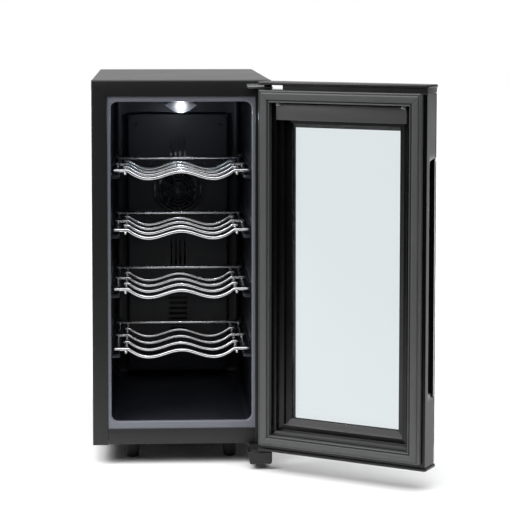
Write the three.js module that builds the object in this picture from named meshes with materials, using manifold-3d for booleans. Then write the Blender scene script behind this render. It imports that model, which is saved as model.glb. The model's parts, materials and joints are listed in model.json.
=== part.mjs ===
// A slim free-standing thermoelectric wine cooler: a steel cabinet round a moulded liner, a framed glass door
// on two hinge pins, sliding wire shelves, and a Peltier cooling unit with a cold-side and a hot-side fan.
// Millimetres, +Z up. While it is built, x = 0 is the cabinet's centre plane, y = 0 its front face and z = 0
// the floor; the last lines move the whole model so that its origin is under the centre of its bounding box.
// The door stands open, as it does when the cooler is being filled.
import * as THREE from 'three';
import { mergeVertices } from 'three/addons/utils/BufferGeometryUtils.js';
import Module from 'manifold-3d';

const wasm = await Module();
wasm.setup();

// ---- driving dimensions -------------------------------------------------------------------------------------
const gap = 0.3;                       // clearance between pieces that touch
const sheet = 1.5;                     // cabinet sheet steel
const cabinet = { half: 126, depth: 470, bottom: 29, top: 546.5 };
const bezel = { side: 22, top: 23.5, bottom: 23 };
const cavity = { half: 99.5, bottom: 62, top: 516, back: 350, corner: 10, wall: 2 };
const flange = { half: 112, bottom: 44, top: 531, front: 1.8, back: 3.8 };
const shelf = { levels: [162.8, 248.3, 332.8, 417.3], front: 15, pitch: 55, rows: 5, wire: 2.4, half: 95,
  rail: 79, side: 91.5, valleyAt: 46.5, valleyDepth: 11.5, crestDepth: 1.7, waveEnd: 75 };
const ledge = { inner: 87.5, lip: 96, thick: 4, front: 6, back: 300, stop: 240 };
const cooling = { z: 360, aperture: 21, coverHalf: 80, coverBottom: 72, coverTop: 482, coverFront: 318 };
const port = { radius: 44, rings: [22, 33], ring: 1.2, hub: 12 };      // the opening in the rear panel
const vent = { half: 70, halfLow: 50, rows: 5, lift: 6, pitch: 12, levels: [462, 212] };
const inlet = { x0: 48, x1: 87, z0: 54, z1: 84, lip: 6, face: 2.2 };
const hinge = { x: 120, y: -28, openAngle: 148.5, pin: 2.5, plateBottom: 535.6, plateTop: 538.2 };
const door = { half: 126, gap: 10, thickness: 35, glass: 4, bottom: 33.8, top: 534.7, cap: 127.5 };
const cap = { low: 29, high: 33.5, lidLow: 541, lidHigh: 545.7, skirtEnd: 90 };
const seal = { outer: 121, inner: 104.3, bottom: 39.5, top: 534.2, innerBottom: 53.8, innerTop: 517.5 };
const pane = { half: 81, bottom: 76, top: 488 };
const unit = { half: 103.8, bottom: 57, top: 491.5, spacer: 9, depth: 17.6 };   // the double-glazed unit
const reveal = { first: 97, firstBottom: 65, second: 88, secondBottom: 70, stepDepth: 8, top: 491 };
const bar = { half: 97.5, bottom: 493.5, top: 516 };                   // the control cover over the window
const grip = { bottom: 122, top: 452, depth: 9, near: -20 };
const foot = { x: 70, front: 55, back: 420, top: 11, bottom: 8.5, height: 24 };

// ---- materials ----------------------------------------------------------------------------------------------
function material(color, roughness, metalness = 0, extra = {}) {
  return new THREE.MeshStandardMaterial({ color, roughness, metalness, ...extra });
}
const paint = () => material(0x17181a, 0.38, 0.1);
const glossBlack = () => material(0x0b0c0d, 0.15);
const satinBlack = () => material(0x1b1c1e, 0.5);
const linerGrey = () => material(0x3c4146, 0.45);
const chrome = () => material(0xd2d4d6, 0.16, 1);
const steel = () => material(0xa9acae, 0.35, 1);
const aluminium = () => material(0xb6b9bb, 0.4, 1);
const rubber = () => material(0x55585b, 0.75);
const clearGlass = () => material(0xdfe8f0, 0.05, 0, { transparent: true, opacity: 0.35 });

// ---- building blocks ----------------------------------------------------------------------------------------
function slab(x0, x1, y0, y1, z0, z1) {
  return new THREE.BoxGeometry(x1 - x0, y1 - y0, z1 - z0)
    .translate((x0 + x1) / 2, (y0 + y1) / 2, (z0 + z1) / 2);
}

// A flat outline pushed along an axis. Outlines lie in (x, y) for z, in (x, z) for y and in (y, z) for x.
function prism(shape, axis, from, to, curveSegments = 4) {
  const body = new THREE.ExtrudeGeometry(shape, { depth: to - from, bevelEnabled: false, curveSegments });
  const [X, Y, Z] = [new THREE.Vector3(1, 0, 0), new THREE.Vector3(0, 1, 0), new THREE.Vector3(0, 0, 1)];
  const turn = new THREE.Matrix4();
  if (axis === 'z') return body.translate(0, 0, from);
  if (axis === 'y') {
    turn.makeBasis(X, Z, Y.clone().negate());
    return body.applyMatrix4(turn).translate(0, to, 0);
  }
  turn.makeBasis(Y, Z, X);
  return body.applyMatrix4(turn).translate(from, 0, 0);
}

function polygon(points) {
  return new THREE.Shape(points.map(([a, b]) => new THREE.Vector2(a, b)));
}

function rounded(a0, a1, b0, b1, r) {
  const shape = new THREE.Shape();
  shape.moveTo(a0 + r, b0).lineTo(a1 - r, b0).absarc(a1 - r, b0 + r, r, -Math.PI / 2, 0, false);
  shape.lineTo(a1, b1 - r).absarc(a1 - r, b1 - r, r, 0, Math.PI / 2, false);
  shape.lineTo(a0 + r, b1).absarc(a0 + r, b1 - r, r, Math.PI / 2, Math.PI, false);
  shape.lineTo(a0, b0 + r).absarc(a0 + r, b0 + r, r, Math.PI, 1.5 * Math.PI, false);
  return shape;
}

function disc(radius, a, b, sides = 24) {
  const points = [];
  for (let i = 0; i < sides; i += 1) {
    const angle = ((i + 0.5) * 2 * Math.PI) / sides;
    points.push([a + radius * Math.cos(angle), b + radius * Math.sin(angle)]);
  }
  return polygon(points);
}

function rod(radius, axis, a, b, from, to, sides = 16) {
  return prism(disc(radius, a, b, sides), axis, from, to);
}

function solid(geometry) {
  const bare = geometry.clone();
  bare.deleteAttribute('normal');
  bare.deleteAttribute('uv');
  const merged = mergeVertices(bare, 1e-4);
  return new wasm.Manifold(new wasm.Mesh({
    numProp: 3,
    vertProperties: new Float32Array(merged.attributes.position.array),
    triVerts: new Uint32Array(merged.index.array),
  }));
}

function surface(manifold) {
  const result = manifold.getMesh();
  const geometry = new THREE.BufferGeometry();
  geometry.setAttribute('position', new THREE.BufferAttribute(new Float32Array(result.vertProperties), 3));
  geometry.setIndex(new THREE.BufferAttribute(new Uint32Array(result.triVerts), 1));
  geometry.computeVertexNormals();
  return geometry;
}

function join(...pieces) {
  return surface(pieces.map(solid).reduce((all, piece) => all.add(piece)));
}

function cut(base, ...tools) {
  return surface(tools.map(solid).reduce((left, tool) => left.subtract(tool), solid(base)));
}

function addTo(group, name, geometry, look) {
  const mesh = new THREE.Mesh(geometry, look);
  mesh.name = name;
  group.add(mesh);
  return mesh;
}

const cooler = new THREE.Group();
const fixed = new THREE.Group();
const leaf = new THREE.Group();        // the door, drawn closed and then turned about its hinge pins
cooler.add(fixed, leaf);

// ---- cabinet shell ------------------------------------------------------------------------------------------
function outerWrapper() {
  const { half, depth, bottom, top } = cabinet;
  const back = depth - 2;
  const inside = half - bezel.side;
  return join(
    slab(-half, half, 0, back, top - sheet, top),
    slab(-half, -half + sheet, 0, back, bottom, top),
    slab(half - sheet, half, 0, back, bottom, top),
    slab(-half, half, 0, sheet, top - bezel.top, top),
    slab(-half, -inside, 0, sheet, bottom, top),
    slab(inside, half, 0, sheet, bottom, top),
    slab(-half, -half + 12, 0, back, bottom, bottom + sheet),
    slab(half - 12, half, 0, back, bottom, bottom + sheet),
  );
}
addTo(fixed, 'outer_wrapper', outerWrapper(), paint());

function bottomRail() {
  const inside = cabinet.half - bezel.side - gap;
  const z = cabinet.bottom;
  const profile = polygon([[0, z], [16, z], [16, z + sheet], [sheet, z + sheet], [sheet, z + bezel.bottom],
    [0, z + bezel.bottom]]);
  return prism(profile, 'x', -inside, inside);
}
addTo(fixed, 'bottom_rail', bottomRail(), paint());

const floorPlate = { half: 112, front: 17, back: 455, z: cabinet.bottom + sheet + gap };
addTo(fixed, 'base_plate', slab(-floorPlate.half, floorPlate.half, floorPlate.front, floorPlate.back,
  floorPlate.z, floorPlate.z + sheet), satinBlack());

// Wide slots one above the other, with a shorter one under them.
function ventRows(z, y0, y1) {
  const rows = Array.from({ length: vent.rows }, (_, i) => [vent.half, z + i * vent.pitch]);
  rows.push([vent.halfLow, z - vent.pitch]);
  return rows.map(([half, low]) => slab(-half, half, y0, y1, low, low + vent.lift));
}

function ringPlate(radius, width, y0, y1, sides) {
  return cut(rod(radius + width, 'y', 0, cooling.z, y0, y1, sides),
    rod(radius - width, 'y', 0, cooling.z, y0 - 1, y1 + 1, sides));
}

function crossBars(reach, half, y0, y1) {
  return [slab(-reach, reach, y0, y1, cooling.z - half, cooling.z + half),
    slab(-half, half, y0, y1, cooling.z - reach, cooling.z + reach)];
}

function rearPanel() {
  const y0 = cabinet.depth - 2 + gap;
  const y1 = cabinet.depth + gap;
  const panel = slab(-cabinet.half + 1, cabinet.half - 1, y0, y1, cabinet.bottom + 1, cabinet.top - 1);
  const slots = vent.levels.flatMap((z) => ventRows(z, y0 - 1, y1 + 1));
  const opening = rod(port.radius, 'y', 0, cooling.z, y0 - 1, y1 + 1, 24);
  const guard = port.rings.map((r) => ringPlate(r, port.ring, y0, y1, 24));
  const spokes = crossBars(port.radius + 1, 1.5, y0, y1);
  const hub = rod(port.hub, 'y', 0, cooling.z, y0, y1, 16);
  const inletHole = slab(inlet.x0 + 4, inlet.x1 - 4, y0 - 1, y1 + 1, inlet.z0 + 3, inlet.z1 - 3);
  return join(cut(panel, ...slots, opening, inletHole), ...guard, ...spokes, hub);
}
addTo(fixed, 'rear_panel', rearPanel(), satinBlack());

function taperedFoot(x, y) {
  const body = new THREE.CylinderGeometry(foot.top, foot.bottom, foot.height, 24)
    .rotateX(Math.PI / 2).translate(x, y, foot.height / 2);
  const neck = rod(foot.bottom - 1, 'z', x, y, foot.height - 1, cabinet.bottom + sheet, 24);
  return join(body, neck);
}
for (const [side, x] of [['left', -foot.x], ['right', foot.x]]) {
  for (const [end, y] of [['front', foot.front], ['rear', foot.back]]) {
    addTo(fixed, `foot_${end}_${side}`, taperedFoot(x, y), satinBlack());
  }
}

// ---- insulated liner ----------------------------------------------------------------------------------------
// Each shelf slides between two ledges on either side, up against a stop.
function linerLedges() {
  const { inner, lip, thick, front, back, stop } = ledge;
  const bars = [];
  for (const level of shelf.levels) {
    const under = level - 2 * shelf.wire - 1.8;
    const over = level + shelf.wire + 1;
    for (const side of [-1, 1]) {
      const span = (from) => [side * from, side * (cavity.half + 0.5)].sort((a, b) => a - b);
      bars.push(slab(...span(inner), front, back, under - thick, under));
      bars.push(slab(...span(lip), front + 40, back, over, over + 3));
      bars.push(slab(...span(inner), stop, stop + 4, under - 0.5, over + 0.5));
    }
  }
  return bars;
}

function aroundCavity(extra, radius, from, to) {
  const { half, bottom, top } = cavity;
  return prism(rounded(-half - extra, half + extra, bottom - extra, top + extra, radius), 'y', from, to);
}

function shaft(from, to) {
  const half = cooling.aperture + 1;
  return slab(-half, half, from, to, cooling.z - half, cooling.z + half);
}

function innerLiner() {
  const { back, corner, wall } = cavity;
  const tub = aroundCavity(wall, corner + wall, flange.front, back + wall);
  const rimOutline = rounded(-flange.half, flange.half, flange.bottom, flange.top, 12);
  const rim = prism(rimOutline, 'y', flange.front, flange.back);
  const shell = cut(join(tub, rim), aroundCavity(0, corner, 0, back), shaft(back - 1, back + wall + 1));
  return join(shell, ...linerLedges());
}
addTo(fixed, 'inner_liner', innerLiner(), linerGrey());

const foamBack = cavity.back + cavity.wall + 34;
function insulation() {
  const { back, corner, wall } = cavity;
  const half = cabinet.half - sheet - gap;
  const bottom = 34;
  const block = slab(-half, half, flange.back + 0.4, foamBack, bottom, cabinet.top - sheet - gap);
  const tub = aroundCavity(wall + gap, corner + wall, 0, back + wall + gap);
  return cut(block, tub, shaft(back, foamBack + 1));
}
addTo(fixed, 'insulation_foam', insulation(), material(0xe7dfc4, 0.9));

// ---- cabin lamp ---------------------------------------------------------------------------------------------
// A boat-shaped lens: narrow at the ceiling, widest a little below it, and drawn down to a rounded keel.
const lamp = { half: 23, neck: 15, waist: 5.5, drop: 17, front: 30, back: 60, wall: 1.5 };
function lampOutline(inset) {
  const top = cavity.top - gap;
  const keel = top - lamp.drop + inset;
  const half = lamp.half - 2 * inset;
  const neck = lamp.neck - inset;
  const ceiling = inset ? top + 1 : top;
  const shape = new THREE.Shape();
  shape.moveTo(-neck, ceiling).lineTo(-half, top - lamp.waist).quadraticCurveTo(-6, keel, 0, keel);
  shape.quadraticCurveTo(6, keel, half, top - lamp.waist).lineTo(neck, ceiling);
  return shape;
}
addTo(fixed, 'lamp_lens', cut(prism(lampOutline(0), 'y', lamp.front, lamp.back, 8),
  prism(lampOutline(lamp.wall), 'y', lamp.front + lamp.wall, lamp.back - lamp.wall, 8)),
  material(0xf4f6f8, 0.3, 0, { emissive: 0xffffff, emissiveIntensity: 0.6 }));
addTo(fixed, 'lamp_board', slab(1 - lamp.neck, lamp.neck - 1, lamp.front + 5, lamp.back - 5,
  cavity.top - 3.5, cavity.top - 1.5), material(0x2f6b3a, 0.5));

// ---- cooling unit -------------------------------------------------------------------------------------------
const coverSheet = 2.2;
const grille = { radius: 31, rings: [12, 22], ring: 1.3 };
const slotField = { count: 4, width: 3, pitch: 7, spans: [[408, 444], [241, 281]] };
const ladder = { count: 8, half: 14, low: 137, lift: 4.5, pitch: 8.2 };
function fanCover() {
  const { coverHalf: half, coverBottom, coverTop, coverFront: y0, z } = cooling;
  const y1 = y0 + coverSheet;
  const shell = slab(-half, half, y0, cavity.back - gap, coverBottom, coverTop);
  const inside = slab(-half + 2, half - 2, y1, cavity.back + 1, coverBottom + 2, coverTop - 2);
  const through = (x0, x1, low, high) => slab(x0, x1, y0 - 1, y1 + 1, low, high);
  const slots = slotField.spans.flatMap(([low, high]) => Array.from({ length: slotField.count }, (_, i) => {
    const x = (i - (slotField.count - 1) / 2) * slotField.pitch;
    return through(x - slotField.width / 2, x + slotField.width / 2, low, high);
  }));
  const rungs = Array.from({ length: ladder.count }, (_, i) => {
    const low = ladder.low + i * ladder.pitch;
    return through(-ladder.half, ladder.half, low, low + ladder.lift);
  });
  const opening = rod(grille.radius, 'y', 0, z, y0 - 1, y1 + 1, 24);
  const rings = grille.rings.map((r) => ringPlate(r, grille.ring, y0, y1, 20));
  return join(cut(shell, inside, opening, ...rungs, ...slots), ...rings,
    ...crossBars(grille.radius + 1, grille.ring, y0, y1));
}
addTo(fixed, 'fan_cover', fanCover(), material(0x202327, 0.45));

function fanFrame(half, y0, y1, bore, strutY) {
  const z = cooling.z;
  const body = cut(prism(rounded(-half, half, z - half, z + half, 5), 'y', y0, y1),
    rod(bore, 'y', 0, z, y0 - 1, y1 + 1, 24));
  const hub = rod(bore * 0.4, 'y', 0, z, strutY, strutY + 2, 16);
  return join(body, hub, ...crossBars(bore + 1, 1.5, strutY, strutY + 2));
}

function fanRotor(radius, y0, y1) {
  const blades = 7;
  const hub = rod(radius * 0.42, 'y', 0, 0, y0, y1, 20);
  const pieces = Array.from({ length: blades }, (_, i) => new THREE.BoxGeometry(radius * 0.65, 1.4, radius * 0.42)
    .rotateX(0.5).translate(radius * 0.66, (y0 + y1) / 2, 0).rotateY((i * 2 * Math.PI) / blades));
  return join(hub, ...pieces).translate(0, 0, cooling.z);
}
addTo(fixed, 'cold_fan_frame', fanFrame(35, 321, 333, 32, 331), satinBlack());
addTo(fixed, 'cold_fan_rotor', fanRotor(30, 322, 330.6), satinBlack());
addTo(fixed, 'hot_fan_frame', fanFrame(46, 425, 450, 43.5, 425), satinBlack());
addTo(fixed, 'hot_fan_rotor', fanRotor(41, 430, 447), satinBlack());

// A comb of fins seen from above, run upwards to either side of the fan's axis. Its fins point towards the back
// where side is +1 and towards the front where it is -1.
function heatsink({ half, y, base, fin, side, count, reach }) {
  const points = [[-half, y], [half, y]];
  const step = (2 * half) / (2 * count - 1);
  const tip = y + side * (base + fin);
  const root = y + side * base;
  for (let i = 0; i < count; i += 1) {
    const x = half - 2 * i * step;
    points.push([x, tip], [x - step, tip]);
    if (i < count - 1) points.push([x - step, root], [x - 2 * step, root]);
  }
  return prism(polygon(side > 0 ? points : points.reverse()), 'z', cooling.z - reach, cooling.z + reach);
}
const block = 20;                      // half side of the cold block and of the Peltier module
const coldBase = cavity.back - 1;
const blockEnd = foamBack - 1;
const moduleEnd = blockEnd + gap + 3.6;
const aroundAxis = (y0, y1) => slab(-block, block, y0, y1, cooling.z - block, cooling.z + block);
addTo(fixed, 'cold_heatsink', heatsink({
  half: 45, y: coldBase, base: 4, fin: 11, side: -1, count: 12, reach: 60,
}), aluminium());
addTo(fixed, 'cold_block', aroundAxis(coldBase + gap, blockEnd), aluminium());
addTo(fixed, 'peltier_module', aroundAxis(blockEnd + gap, moduleEnd), material(0xe9e6dd, 0.6));
addTo(fixed, 'hot_heatsink', heatsink({
  half: 50, y: moduleEnd + gap, base: 6, fin: 28, side: 1, count: 14, reach: 65,
}), aluminium());

function powerBoard() {
  const y = 410;
  const board = slab(-80, 35, y, y + 2, 80, 170);
  const transformer = slab(-70, -30, y + 1, y + 32, 95, 130);
  const capacitors = [105, 130].map((z) => rod(8, 'y', 5, z, y + 1, y + 28, 16));
  const heatSpreader = slab(-20, -8, y + 1, y + 24, 92, 150);
  return join(board, transformer, ...capacitors, heatSpreader);
}
addTo(fixed, 'power_board', powerBoard(), material(0x2d5a34, 0.5));

function mainsInlet() {
  const { x0, x1, z0, z1, lip, face } = inlet;
  const back = cabinet.depth + gap;
  const middle = (x0 + x1) / 2;
  const body = slab(x0 + lip, x1 - lip, back - 22, back + gap + 1, z0 + 5, z1 - 5);
  const rim = slab(x0, x1, back + gap, back + gap + face, z0, z1);
  const well = slab(x0 + lip + 2, x1 - lip - 2, back - 16, back + 4, z0 + 7.5, z1 - 7.5);
  const blades = [[-7.5, 66.5], [7.5, 66.5], [0, 72]].map(([x, z]) => (
    slab(middle + x - 1, middle + x + 1, back - 17, back - 5, z - 2, z + 2)));
  return join(cut(join(body, rim), well), ...blades);
}
addTo(fixed, 'mains_inlet', mainsInlet(), satinBlack());
addTo(fixed, 'temperature_sensor', rod(3, 'z', 62, 342, 300, 328, 12), material(0xc9ccce, 0.4));

// ---- shelves ------------------------------------------------------------------------------------------------
function wire(points, steps) {
  return new THREE.ExtrudeGeometry(disc(shelf.wire, 0, 0, 6), {
    steps, bevelEnabled: false, extrudePath: new THREE.CatmullRomCurve3(points, false, 'centripetal'),
  });
}

// Height of a cross wire: two valleys that cradle a bottle each, a crest between them, and flat ends.
function scallop(x) {
  const r = Math.abs(x);
  const swing = shelf.valleyDepth - shelf.crestDepth;
  const rise = (1 - Math.cos((Math.PI * r) / shelf.valleyAt)) / 2;
  if (r < shelf.valleyAt) return -shelf.crestDepth - swing * rise;
  if (r > shelf.waveEnd) return 0;
  const run = (r - shelf.valleyAt) / (shelf.waveEnd - shelf.valleyAt);
  return -shelf.valleyDepth * Math.cos((Math.PI * run) / 2) ** 0.85;
}

function crossWire(y, z, half) {
  const right = [12, 24, 36, 46.5, 54, 62, 69, 75, half];
  const stations = [...right.map((x) => -x).reverse(), 0, ...right];
  return wire(stations.map((x) => new THREE.Vector3(x, y, z + scallop(x))), stations.length - 1);
}

function straightWire(x0, x1, y0, y1, z) {
  return wire([new THREE.Vector3(x0, y0, z), new THREE.Vector3(x1, y1, z)], 1);
}

function shelfGrid(level) {
  const last = shelf.front + shelf.pitch * (shelf.rows - 1);
  const under = level - 2 * shelf.wire + 0.9;
  const wires = [];
  for (let row = 0; row < shelf.rows - 1; row += 1) {
    wires.push(crossWire(shelf.front + row * shelf.pitch, level, row % 2 ? shelf.rail + 2.5 : shelf.half));
  }
  wires.push(straightWire(-shelf.half, shelf.half, last, last, level));
  for (const x of [-shelf.rail, shelf.rail]) wires.push(straightWire(x, x, shelf.front - 4, last + 3, under));
  for (const x of [-shelf.side, shelf.side]) wires.push(straightWire(x, x, shelf.front - 1, last + 3, under));
  return join(...wires);
}
shelf.levels.forEach((level, i) => addTo(fixed, `wire_shelf_${i + 1}`, shelfGrid(level), chrome()));

// ---- hinges -------------------------------------------------------------------------------------------------
function topHinge() {
  const { x, y, pin, plateBottom, plateTop } = hinge;
  const plate = slab(92, cabinet.half, y - 8, -gap, plateBottom, plateTop);
  const ear = slab(92, cabinet.half, -2.3, -gap, plateBottom, plateTop + 2.3);
  const boss = rod(5, 'z', x, y, door.top + gap, cap.lidLow - gap, 16);
  return join(plate, ear, boss, rod(pin, 'z', x, y, 516, plateTop));
}
addTo(fixed, 'top_hinge_bracket', topHinge(), steel());

const hingePlateTop = cabinet.bottom - gap;
const hingePlateLow = hingePlateTop - 3;
function bottomHinge() {
  const plate = slab(96, cabinet.half - 0.5, hinge.y - 8, 58, hingePlateLow, hingePlateTop);
  return join(plate, rod(hinge.pin, 'z', hinge.x, hinge.y, hingePlateTop - 1, 48));
}
addTo(fixed, 'bottom_hinge_bracket', bottomHinge(), satinBlack());
const coverHigh = hingePlateLow - gap;
const coverOutline = polygon([[92, coverHigh], [95, 8], [124, 8], [126, 11], [126, coverHigh]]);
addTo(fixed, 'bottom_hinge_cover', prism(coverOutline, 'y', hinge.y - 8.5, -1.5), satinBlack());

// ---- door ---------------------------------------------------------------------------------------------------
const inner = -door.gap;                            // the door's inner face, when closed
const outer = -door.gap - door.thickness;           // the outer glass's face
const glassBack = outer + door.glass;
const pinHole = 4.1;

function ring(halfOut, z0, z1, halfIn, w0, w1, y0, y1) {
  return cut(slab(-halfOut, halfOut, y0, y1, z0, z1), slab(-halfIn, halfIn, y0 - 1, y1 + 1, w0, w1));
}

function pinBore(low, high) {
  return rod(pinHole, 'z', hinge.x, hinge.y, low, high);
}

// The free side is scooped from the grip's near edge right back to the outer glass.
function doorFrame() {
  const body = ring(door.half, door.bottom, door.top,
    seal.inner + gap, seal.innerBottom - gap, seal.innerTop + gap, glassBack + gap, inner);
  const floor = -door.half + grip.depth;
  const scoop = prism(polygon([[-door.half - 1, outer], [floor, outer], [floor, grip.near - 6],
    [-door.half - 1, grip.near]]), 'z', grip.bottom, grip.top);
  return cut(body, scoop, pinBore(30, 50), pinBore(514, 540));
}
addTo(leaf, 'door_frame', doorFrame(), glossBlack());

function bush(low, high) {
  return cut(rod(3.8, 'z', hinge.x, hinge.y, low, high), rod(2.9, 'z', hinge.x, hinge.y, low - 1, high + 1));
}
addTo(leaf, 'hinge_bush_bottom', bush(door.bottom + 0.2, 49.5), material(0xe4e2da, 0.5));
addTo(leaf, 'hinge_bush_top', bush(514.5, door.top - 1), material(0xe4e2da, 0.5));

const capOutline = rounded(-door.cap, door.cap, outer - 0.5, inner + 0.5, 3);
function topCap() {
  const lid = prism(capOutline, 'z', cap.lidLow, cap.lidHigh);
  const skirt = slab(-door.half, cap.skirtEnd, outer + 1, inner - 1, door.top + gap, cap.lidLow + 1);
  return join(lid, skirt);
}
addTo(leaf, 'door_top_cap', topCap(), satinBlack());
addTo(leaf, 'door_bottom_cap', cut(prism(capOutline, 'z', cap.low, cap.high), pinBore(28, 35)), satinBlack());

const paneFront = inner - unit.depth;
const paneBack = paneFront - door.glass;
const glassHalf = door.half - 0.5;
addTo(leaf, 'outer_glass', slab(-glassHalf, glassHalf, outer, glassBack, door.bottom, door.top), clearGlass());
addTo(leaf, 'inner_glass', slab(-unit.half, unit.half, paneBack, paneFront, unit.bottom, unit.top),
  clearGlass());
addTo(leaf, 'glass_spacer', ring(unit.half, unit.bottom, unit.top,
  unit.half - unit.spacer, unit.bottom + unit.spacer, unit.top - unit.spacer,
  glassBack + gap, paneBack - gap), aluminium());

// The moulding steps down from the seal to the pane, and holds the control cover in a pocket along its top.
function innerFrame() {
  const deep = paneFront + gap;
  const high = inner + 1;
  const body = slab(-seal.inner, seal.inner, deep, inner, seal.innerBottom, seal.innerTop);
  const window = slab(-pane.half, pane.half, deep - 1, high, pane.bottom, pane.top);
  const step = inner - reveal.stepDepth;
  const second = slab(-reveal.second, reveal.second, deep + 1.2, high, reveal.secondBottom, reveal.top - 1);
  const first = slab(-reveal.first, reveal.first, step, high, reveal.firstBottom, reveal.top);
  const pocket = slab(-bar.half - 0.5, bar.half + 0.5, deep - 1, high, bar.bottom - 0.5, bar.top + 0.5);
  return cut(body, window, second, first, pocket);
}
addTo(leaf, 'door_inner_frame', innerFrame(), satinBlack());
addTo(leaf, 'control_cover', slab(-bar.half, bar.half, inner - 3, inner - gap, bar.bottom, bar.top),
  satinBlack());
addTo(leaf, 'control_board', slab(-60, 60, inner - 20, inner - 18, bar.bottom + 1.5, bar.top - 1.5),
  material(0x2d5a34, 0.5));
addTo(leaf, 'display_module', slab(-26, 26, glassBack + gap, inner - 20.3, bar.bottom + 3, bar.top - 2.5),
  glossBlack());

function sealRing(inset, inside, y0, y1) {
  return ring(seal.outer - inset, seal.bottom + inset, seal.top - inset,
    seal.inner + inside, seal.innerBottom - inside, seal.innerTop + inside, y0, y1);
}
const magnet = { front: -2.8, back: -5.5 };
const magnetGroove = sealRing(3, 3, inner, magnet.front + gap);
addTo(leaf, 'door_gasket', cut(sealRing(0, 0, inner + gap, -gap), magnetGroove), rubber());
addTo(leaf, 'magnetic_strip', sealRing(4, 4, magnet.back, magnet.front), material(0x2a2826, 0.8));

// The door turns about its hinge pins.
const swing = new THREE.Matrix4().makeTranslation(hinge.x, hinge.y, 0)
  .multiply(new THREE.Matrix4().makeRotationZ(THREE.MathUtils.degToRad(hinge.openAngle)))
  .multiply(new THREE.Matrix4().makeTranslation(-hinge.x, -hinge.y, 0));
swing.decompose(leaf.position, leaf.quaternion, leaf.scale);

// ---- origin -------------------------------------------------------------------------------------------------
const middle = new THREE.Box3().setFromObject(cooler, true).getCenter(new THREE.Vector3());
cooler.position.set(-middle.x, -middle.y, 0);
export default cooler;
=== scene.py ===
"""A slim free-standing wine cooler, its glass door standing open.

Sizes inside the build functions are millimetres in the cabinet's own frame: x = 0 is its centre plane,
y = 0 its front face and z = 0 the floor. Door pieces are drawn with the door closed and turned about the
hinge pins.
"""
import json
import math

import bmesh
import bpy
import numpy as np
from bpy.props import FloatProperty, FloatVectorProperty, IntProperty, PointerProperty
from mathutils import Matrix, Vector


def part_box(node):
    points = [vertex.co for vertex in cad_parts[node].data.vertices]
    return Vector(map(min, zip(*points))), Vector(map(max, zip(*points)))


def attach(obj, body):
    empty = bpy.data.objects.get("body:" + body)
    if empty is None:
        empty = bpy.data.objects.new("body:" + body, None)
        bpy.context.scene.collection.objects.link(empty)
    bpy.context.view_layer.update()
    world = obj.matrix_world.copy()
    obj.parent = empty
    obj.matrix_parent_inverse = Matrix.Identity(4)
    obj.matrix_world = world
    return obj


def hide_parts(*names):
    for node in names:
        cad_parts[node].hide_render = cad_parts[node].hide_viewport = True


bl_info = {
    "name": "Wine Cooler",
    "version": (1, 0, 0),
    "blender": (4, 5, 0),
    "location": "View3D > Sidebar > Wine Cooler",
    "description": "Builds a slim wine cooler with a hinged glass door and wire shelves",
    "category": "Add Mesh",
}

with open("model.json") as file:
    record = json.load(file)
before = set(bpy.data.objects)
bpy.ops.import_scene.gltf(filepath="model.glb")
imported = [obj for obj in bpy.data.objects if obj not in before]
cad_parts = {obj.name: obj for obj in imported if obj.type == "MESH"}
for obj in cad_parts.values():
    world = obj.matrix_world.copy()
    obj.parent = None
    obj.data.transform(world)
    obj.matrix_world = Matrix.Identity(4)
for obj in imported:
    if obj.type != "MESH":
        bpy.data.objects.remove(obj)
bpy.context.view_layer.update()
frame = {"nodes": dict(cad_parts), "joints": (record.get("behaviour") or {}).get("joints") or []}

# ---- the frame's own measures ----------------------------------------------------------------------
MM = 0.001
shell_low, shell_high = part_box("outer_wrapper")
ORIGIN = np.array([(shell_low.x + shell_high.x) / 2, shell_low.y, 0.0])
HINGE = next(joint for joint in frame["joints"] if joint["name"] == "door_hinge")
PIVOT = (np.array(HINGE["pos_m"]) - ORIGIN) / MM
OPEN_ANGLE = -math.radians(HINGE["range_deg"][0])


def turned(points, angle):
    """The points turned by an angle about the hinge axis, in the cabinet's frame."""
    c, s = math.cos(angle), math.sin(angle)
    x, y = points[..., 0] - PIVOT[0], points[..., 1] - PIVOT[1]
    return np.stack([PIVOT[0] + c * x - s * y, PIVOT[1] + s * x + c * y, points[..., 2]], -1)


def node_points(node):
    """The CAD node's vertices in the cabinet's frame."""
    mesh = frame["nodes"][node].data
    flat = np.empty(len(mesh.vertices) * 3)
    mesh.vertices.foreach_get("co", flat)
    return (flat.reshape(-1, 3) - ORIGIN) / MM


def extent(node, on_door=False):
    """Lowest and highest corner of a CAD node in the cabinet's frame, door nodes with the door closed."""
    points = node_points(node)
    if on_door:
        points = turned(points, -OPEN_ANGLE)
    return points.min(0), points.max(0)


SHELL = extent("outer_wrapper")
COVER = extent("fan_cover")
FRAME = extent("door_frame", True)
SEAL = extent("door_gasket", True)
INNER = extent("door_inner_frame", True)
PANE = extent("inner_glass", True)
FAN_Z = (extent("cold_fan_rotor")[0][2] + extent("cold_fan_rotor")[1][2]) / 2
SHELVES = [f"wire_shelf_{i + 1}" for i in range(4)]


# ---- surfaces --------------------------------------------------------------------------------------
def grid(points, close_u=False, close_v=False, caps=False):
    """Quads over an (m, n, 3) array of points: u runs down its rows, v along them, and each may close on
    itself. Caps fill the first and the last row with one face each."""
    m, n = points.shape[:2]
    u = np.arange(m if close_u else m - 1)
    v = np.arange(n if close_v else n - 1)
    a, b = np.meshgrid(u, v, indexing="ij")
    a_next, b_next = (a + 1) % m, (b + 1) % n
    quads = np.stack([a * n + b, a_next * n + b, a_next * n + b_next, a * n + b_next], -1)
    faces = quads.reshape(-1, 4).tolist()
    if caps:
        faces += [list(range(n))[::-1], list(range((m - 1) * n, m * n))]
    return points.reshape(-1, 3), faces


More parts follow.
